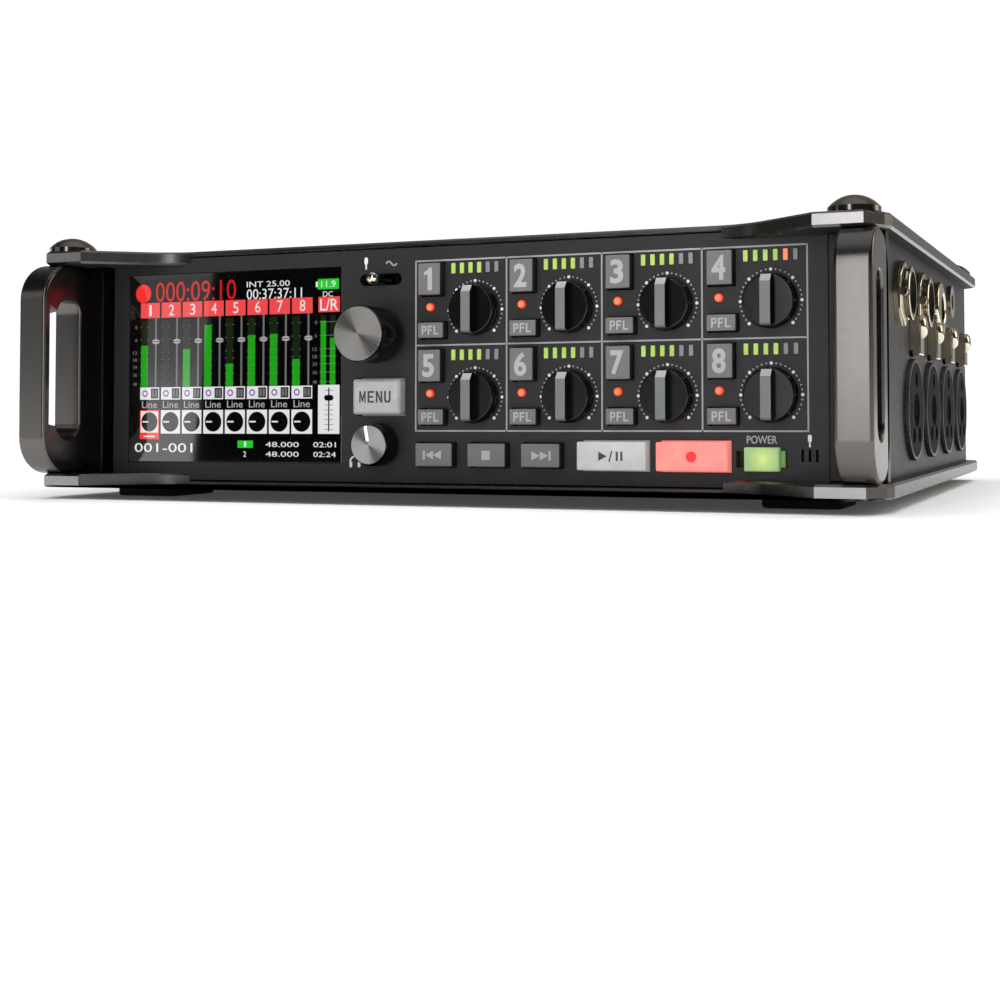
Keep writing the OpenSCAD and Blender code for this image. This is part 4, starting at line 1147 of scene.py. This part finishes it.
def build_side_sockets():
    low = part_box("front_panel")[0]
    def metal(face):
        c = middle(face)
        return "brass" if c.x < SIDE_X[1] - 3 * MM else "chrome"

    def ring(y, profile, finish, steps=64):
        ring_on_side(right, 1, y, UPPER_Z, profile, finish, steps)

    right = copied("right_sockets", CASE, "connector_metal", "right_jacks", metal)
    for y in (low[1] + 20 * MM, low[1] + 44 * MM):
        turns = [math.radians(60 * k + 30) for k in range(6)]
        nut = [(y + NUT_R * math.cos(a), UPPER_Z + NUT_R * math.sin(a)) for a in turns]
        right.add(prism(nut, "x", outward(1, 0.95), outward(1, -0.4), 0.25 * MM), "chrome")
        for w in (1.15, 2.0):
            thread = [(4.8, w - 0.1), (4.98, w), (4.98, w + 0.25), (4.8, w + 0.35)]
            ring(y, thread, "chrome")
        # The barrel's inside is painted near black: painted shade.
        ring(y, [(3.95, 2.3), (3.9, -3.0), (2.35, -3.2)], "hollow_painted_shade", 40)
        core = [(2.35, -3.0), (2.35, 1.2), (2.1, 1.35), (1.0, 1.35), (0.75, 1.1)]
        ring(y, core, "insulator", 40)
    y = low[1] + 68 * MM
    collar = [(6.2, 0.2), (6.2, 0.95), (5.9, 1.25), (4.6, 1.5), (3.6, 1.5), (3.35, 1.2)]
    ring(y, collar, "chrome")
    right.done()

    def mixed(face):
        c = middle(face)
        return "socket" if c.y > low[1] + 52 * MM else "steel"

    copied("left_sockets", CASE, "connector_metal", "left_jacks", mixed, 0.15 * MM, 2,
           past(0, -HALF_W + 3.2 * MM, -1)).done()

    edge_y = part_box("rear_sockets")[1][1]

    def contacts(face):
        c = middle(face)
        small = face.calc_area() < 6e-6
        return "brass" if small and c.y < edge_y - 2.2 * MM and abs(face.normal.y) < 0.9 else "socket"

    copied("rear_connectors", CASE, "connector_plastic", "rear_sockets", contacts, 0.2 * MM, 2,
           past(1, edge_y - 1.2 * MM)).done()


CELL_PITCH = 14.9 * MM


def build_battery():
    door_low, door_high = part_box("battery_door")
    rear = door_high[1]

    door = copied("battery_cover", "battery_case", "black_case", "battery_door", "case", 0.25 * MM, 2,
                  past(1, rear - 1.1 * MM))
    mid_z = (door_low[2] + door_high[2]) / 2
    for k in range(5):
        rib = round_rect(0, mid_z - 11.5 * MM - k * 1.1 * MM, 22 * MM, 0.5 * MM, 0.2 * MM)
        door.add(prism(rib, "y", rear + 0.25 * MM, rear - 0.2 * MM, 0.12 * MM), "case")
    door.done()
    sled_low, sled_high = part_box("battery_sled")
    front, back = sled_low[1] + 3.5 * MM, sled_high[1] - 3.5 * MM
    mid = (sled_low[2] + sled_high[2]) / 2

    def cell(face):
        """Cells show as printed jackets with bright ends, the tray as black plastic."""
        c = middle(face)
        for i in (-1.5, -0.5, 0.5, 1.5):
            for s in (-0.5, 0.5):
                dx, dz = c.x - i * CELL_PITCH, c.z - mid - s * CELL_PITCH
                r = math.hypot(dx, dz)
                if front < c.y < back and r < 7.15 * MM:
                    return "steel" if abs(face.normal.y) > 0.5 or r < 3 * MM else "jacket"
        return "case"

    copied("battery_tray", "battery_case", "cell_jacket", "battery_sled", cell).done()


# ---- camera, stage and lights ----

CAMERA_AT = Vector((129.4, -299.7, 17.2)) * MM
CAMERA_YAW = 19.946
CAMERA_PITCH = 2.036
CAMERA_ROLL = -0.204
CAMERA_LENS = 50.98
CAMERA_SHIFT = (-0.1325, -0.1371)
FLOOR_HALF, FLOOR_RAMP = 12.0, 1.2
CARD_AHEAD, CARD_H = 0.13, 0.11
CARD_LEFT, CARD_SPLIT, CARD_RIGHT = -0.30, (-0.156, -0.143), -0.088
SHINE_FRONT = 0.03
SHINE_BACK = 0.33
SHINE_TOP = 0.55
MATT_LEVEL = 0.5


def build_camera():
    data = bpy.data.cameras.new("camera")
    data.sensor_width = 36
    data.lens = CAMERA_LENS
    data.shift_x, data.shift_y = CAMERA_SHIFT
    data.clip_start, data.clip_end = 0.01, 100
    camera = place("camera", data)
    yaw, pitch, roll = (math.radians(a) for a in (CAMERA_YAW, CAMERA_PITCH, CAMERA_ROLL))
    turn = Matrix.Rotation(yaw, 4, "Z") @ Matrix.Rotation(math.pi / 2 + pitch, 4, "X")
    camera.matrix_world = Matrix.Translation(CAMERA_AT) @ turn @ Matrix.Rotation(roll, 4, "Z")
    bpy.context.scene.camera = camera


def area_light(name, at, aim, w, h, power, colour=(1.0, 1.0, 1.0)):
    """Soft box, power in watts, aimed at a point (all in metres)."""
    data = bpy.data.lights.new(name, "AREA")
    data.shape = "RECTANGLE"
    data.size, data.size_y = w, h
    data.energy = power
    data.color = colour
    lamp = place(name, data)
    lamp.location = at
    lamp.rotation_mode = "QUATERNION"
    lamp.rotation_quaternion = (Vector(aim) - Vector(at)).to_track_quat("-Z", "Y")
    lamp.visible_camera = False
    return lamp


def stage_sheet(name, corners, material):
    mesh = bpy.data.meshes.new(name)
    mesh.from_pydata([tuple(c) for c in corners], [], [(0, 1, 2, 3)])
    mesh.materials.append(material)
    sheet = place(name, mesh)
    return sheet


def build_floor():
    made = Finish("floor", 0.9, 0.0, 0.1)
    made.tint(made.noise(3.0), (0.86, 0.86, 0.86), 0.01)
    reach = made.node("ShaderNodeVectorMath", operation="LENGTH")
    made.link(made.coords, reach.inputs[0])
    made.ramp(made.maths("DIVIDE", reach.outputs["Value"], FLOOR_RAMP),
              [(0.2, (0.05, 0.05, 0.05)), (0.7, (0.8, 0.8, 0.8))], "Emission Color")
    made.put("Emission Strength", 1.0)
    square = round_rect(0, 0, 2 * FLOOR_HALF, 2 * FLOOR_HALF)
    stage_sheet("floor", [(x, y, 0) for x, y in square], made.mat)


def build_cards():
    """A lit card and a dark card in front of the screen, seen only in reflections."""
    y = PANEL_Y - CARD_AHEAD
    made = Finish("lit_card", 0.9)
    made.put("Base Color", (0, 0, 0, 1))
    parts = made.node("ShaderNodeSeparateXYZ")
    made.link(made.coords, parts.inputs[0])
    height = made.maths("DIVIDE", parts.outputs[2], CARD_H)
    made.ramp(height, [(0.0, (1.0, 1.0, 1.0)), (0.14, (0.9, 0.9, 0.9)), (0.32, (0.42, 0.42, 0.42)),
                       (0.55, (0.25, 0.25, 0.25)), (0.62, (0.6, 0.6, 0.6))], "Emission Color")
    made.put("Emission Strength", 0.95)
    split_low, split_high = CARD_SPLIT
    lit = stage_sheet("lit_card", [(CARD_LEFT, y, 0.0), (split_low, y, 0.0), (split_high, y, CARD_H),
                                   (CARD_LEFT, y, CARD_H)], made.mat)
    dark = Finish("dark_card", 0.9, 0.0, 0.0)
    dark.put("Base Color", (0.002, 0.002, 0.002, 1))
    black = stage_sheet("dark_card", [(split_low, y, 0.0), (CARD_RIGHT, y, 0.0), (CARD_RIGHT, y, CARD_H),
                                      (split_high, y, CARD_H)], dark.mat)
    for card in (lit, black):
        card.visible_camera = False
        card.visible_diffuse = False
        card.visible_shadow = False


def build_world():
    """White to the camera, even to matt surfaces; to shiny ones dark in front, bright behind and above."""
    world = bpy.data.worlds.new("studio")
    world.use_nodes = True
    bpy.context.scene.world = world
    tree = world.node_tree
    tree.nodes.clear()

    def node(kind):
        return tree.nodes.new(kind)

    def ramp(source, low, high, start, end):
        made = node("ShaderNodeMapRange")
        for key, value in (("From Min", low), ("From Max", high), ("To Min", start), ("To Max", end)):
            made.inputs[key].default_value = value
        tree.links.new(source, made.inputs["Value"])
        return made.outputs[0]

    def backdrop(strength):
        made = node("ShaderNodeBackground")
        made.inputs["Color"].default_value = (1.0, 1.0, 1.0, 1.0)
        if isinstance(strength, float):
            made.inputs["Strength"].default_value = strength
        else:
            tree.links.new(strength, made.inputs["Strength"])
        return made.outputs[0]

    def choose(switch, off, on):
        made = node("ShaderNodeMixShader")
        for socket, value in zip(made.inputs, (switch, off, on)):
            tree.links.new(value, socket)
        return made.outputs[0]

    coords, parts = node("ShaderNodeTexCoord"), node("ShaderNodeSeparateXYZ")
    tree.links.new(coords.outputs["Generated"], parts.inputs[0])
    depth = ramp(parts.outputs[1], 0.0, 0.95, SHINE_FRONT, SHINE_BACK)
    height = ramp(parts.outputs[2], 0.75, 0.97, 0.0, SHINE_TOP)
    total = node("ShaderNodeMath")
    total.operation = "ADD"
    tree.links.new(depth, total.inputs[0])
    tree.links.new(height, total.inputs[1])
    shine = total.outputs[0]
    path, out = node("ShaderNodeLightPath"), node("ShaderNodeOutputWorld")
    seen = choose(path.outputs["Is Glossy Ray"], backdrop(MATT_LEVEL), backdrop(shine))
    seen = choose(path.outputs["Is Camera Ray"], seen, backdrop(1.05))
    tree.links.new(seen, out.inputs[0])


def build_lights_and_stage():
    build_floor()
    build_cards()
    build_world()
    area_light("front_box", (-0.014, -0.62, 0.235), (-0.014, 0.0, 0.235), 0.088, 0.45, 0.58)
    area_light("top_box", (0.0, -0.12, 0.75), (0.0, -0.12, 0.0), 1.1, 0.9, 7.2).visible_glossy = False
    area_light("side_box", (0.55, 0.25, 0.30), (0.09, 0.0, 0.03), 0.30, 0.40, 0.8, (1.0, 0.9, 0.78))
    bpy.context.scene.view_settings.view_transform = "Standard"


# ---- the whole ----

build_camera()
build_plates()
build_handles()
build_case()
build_print()
build_screen()
build_picture()
for channel in CHANNELS:
    build_channel_knob(channel)
    build_channel_keys(channel)
build_encoder()
build_volume()
build_transport()
build_switches()
build_lights()
build_combo_jacks()
build_latches()
build_side_sockets()
build_battery()
build_lights_and_stage()
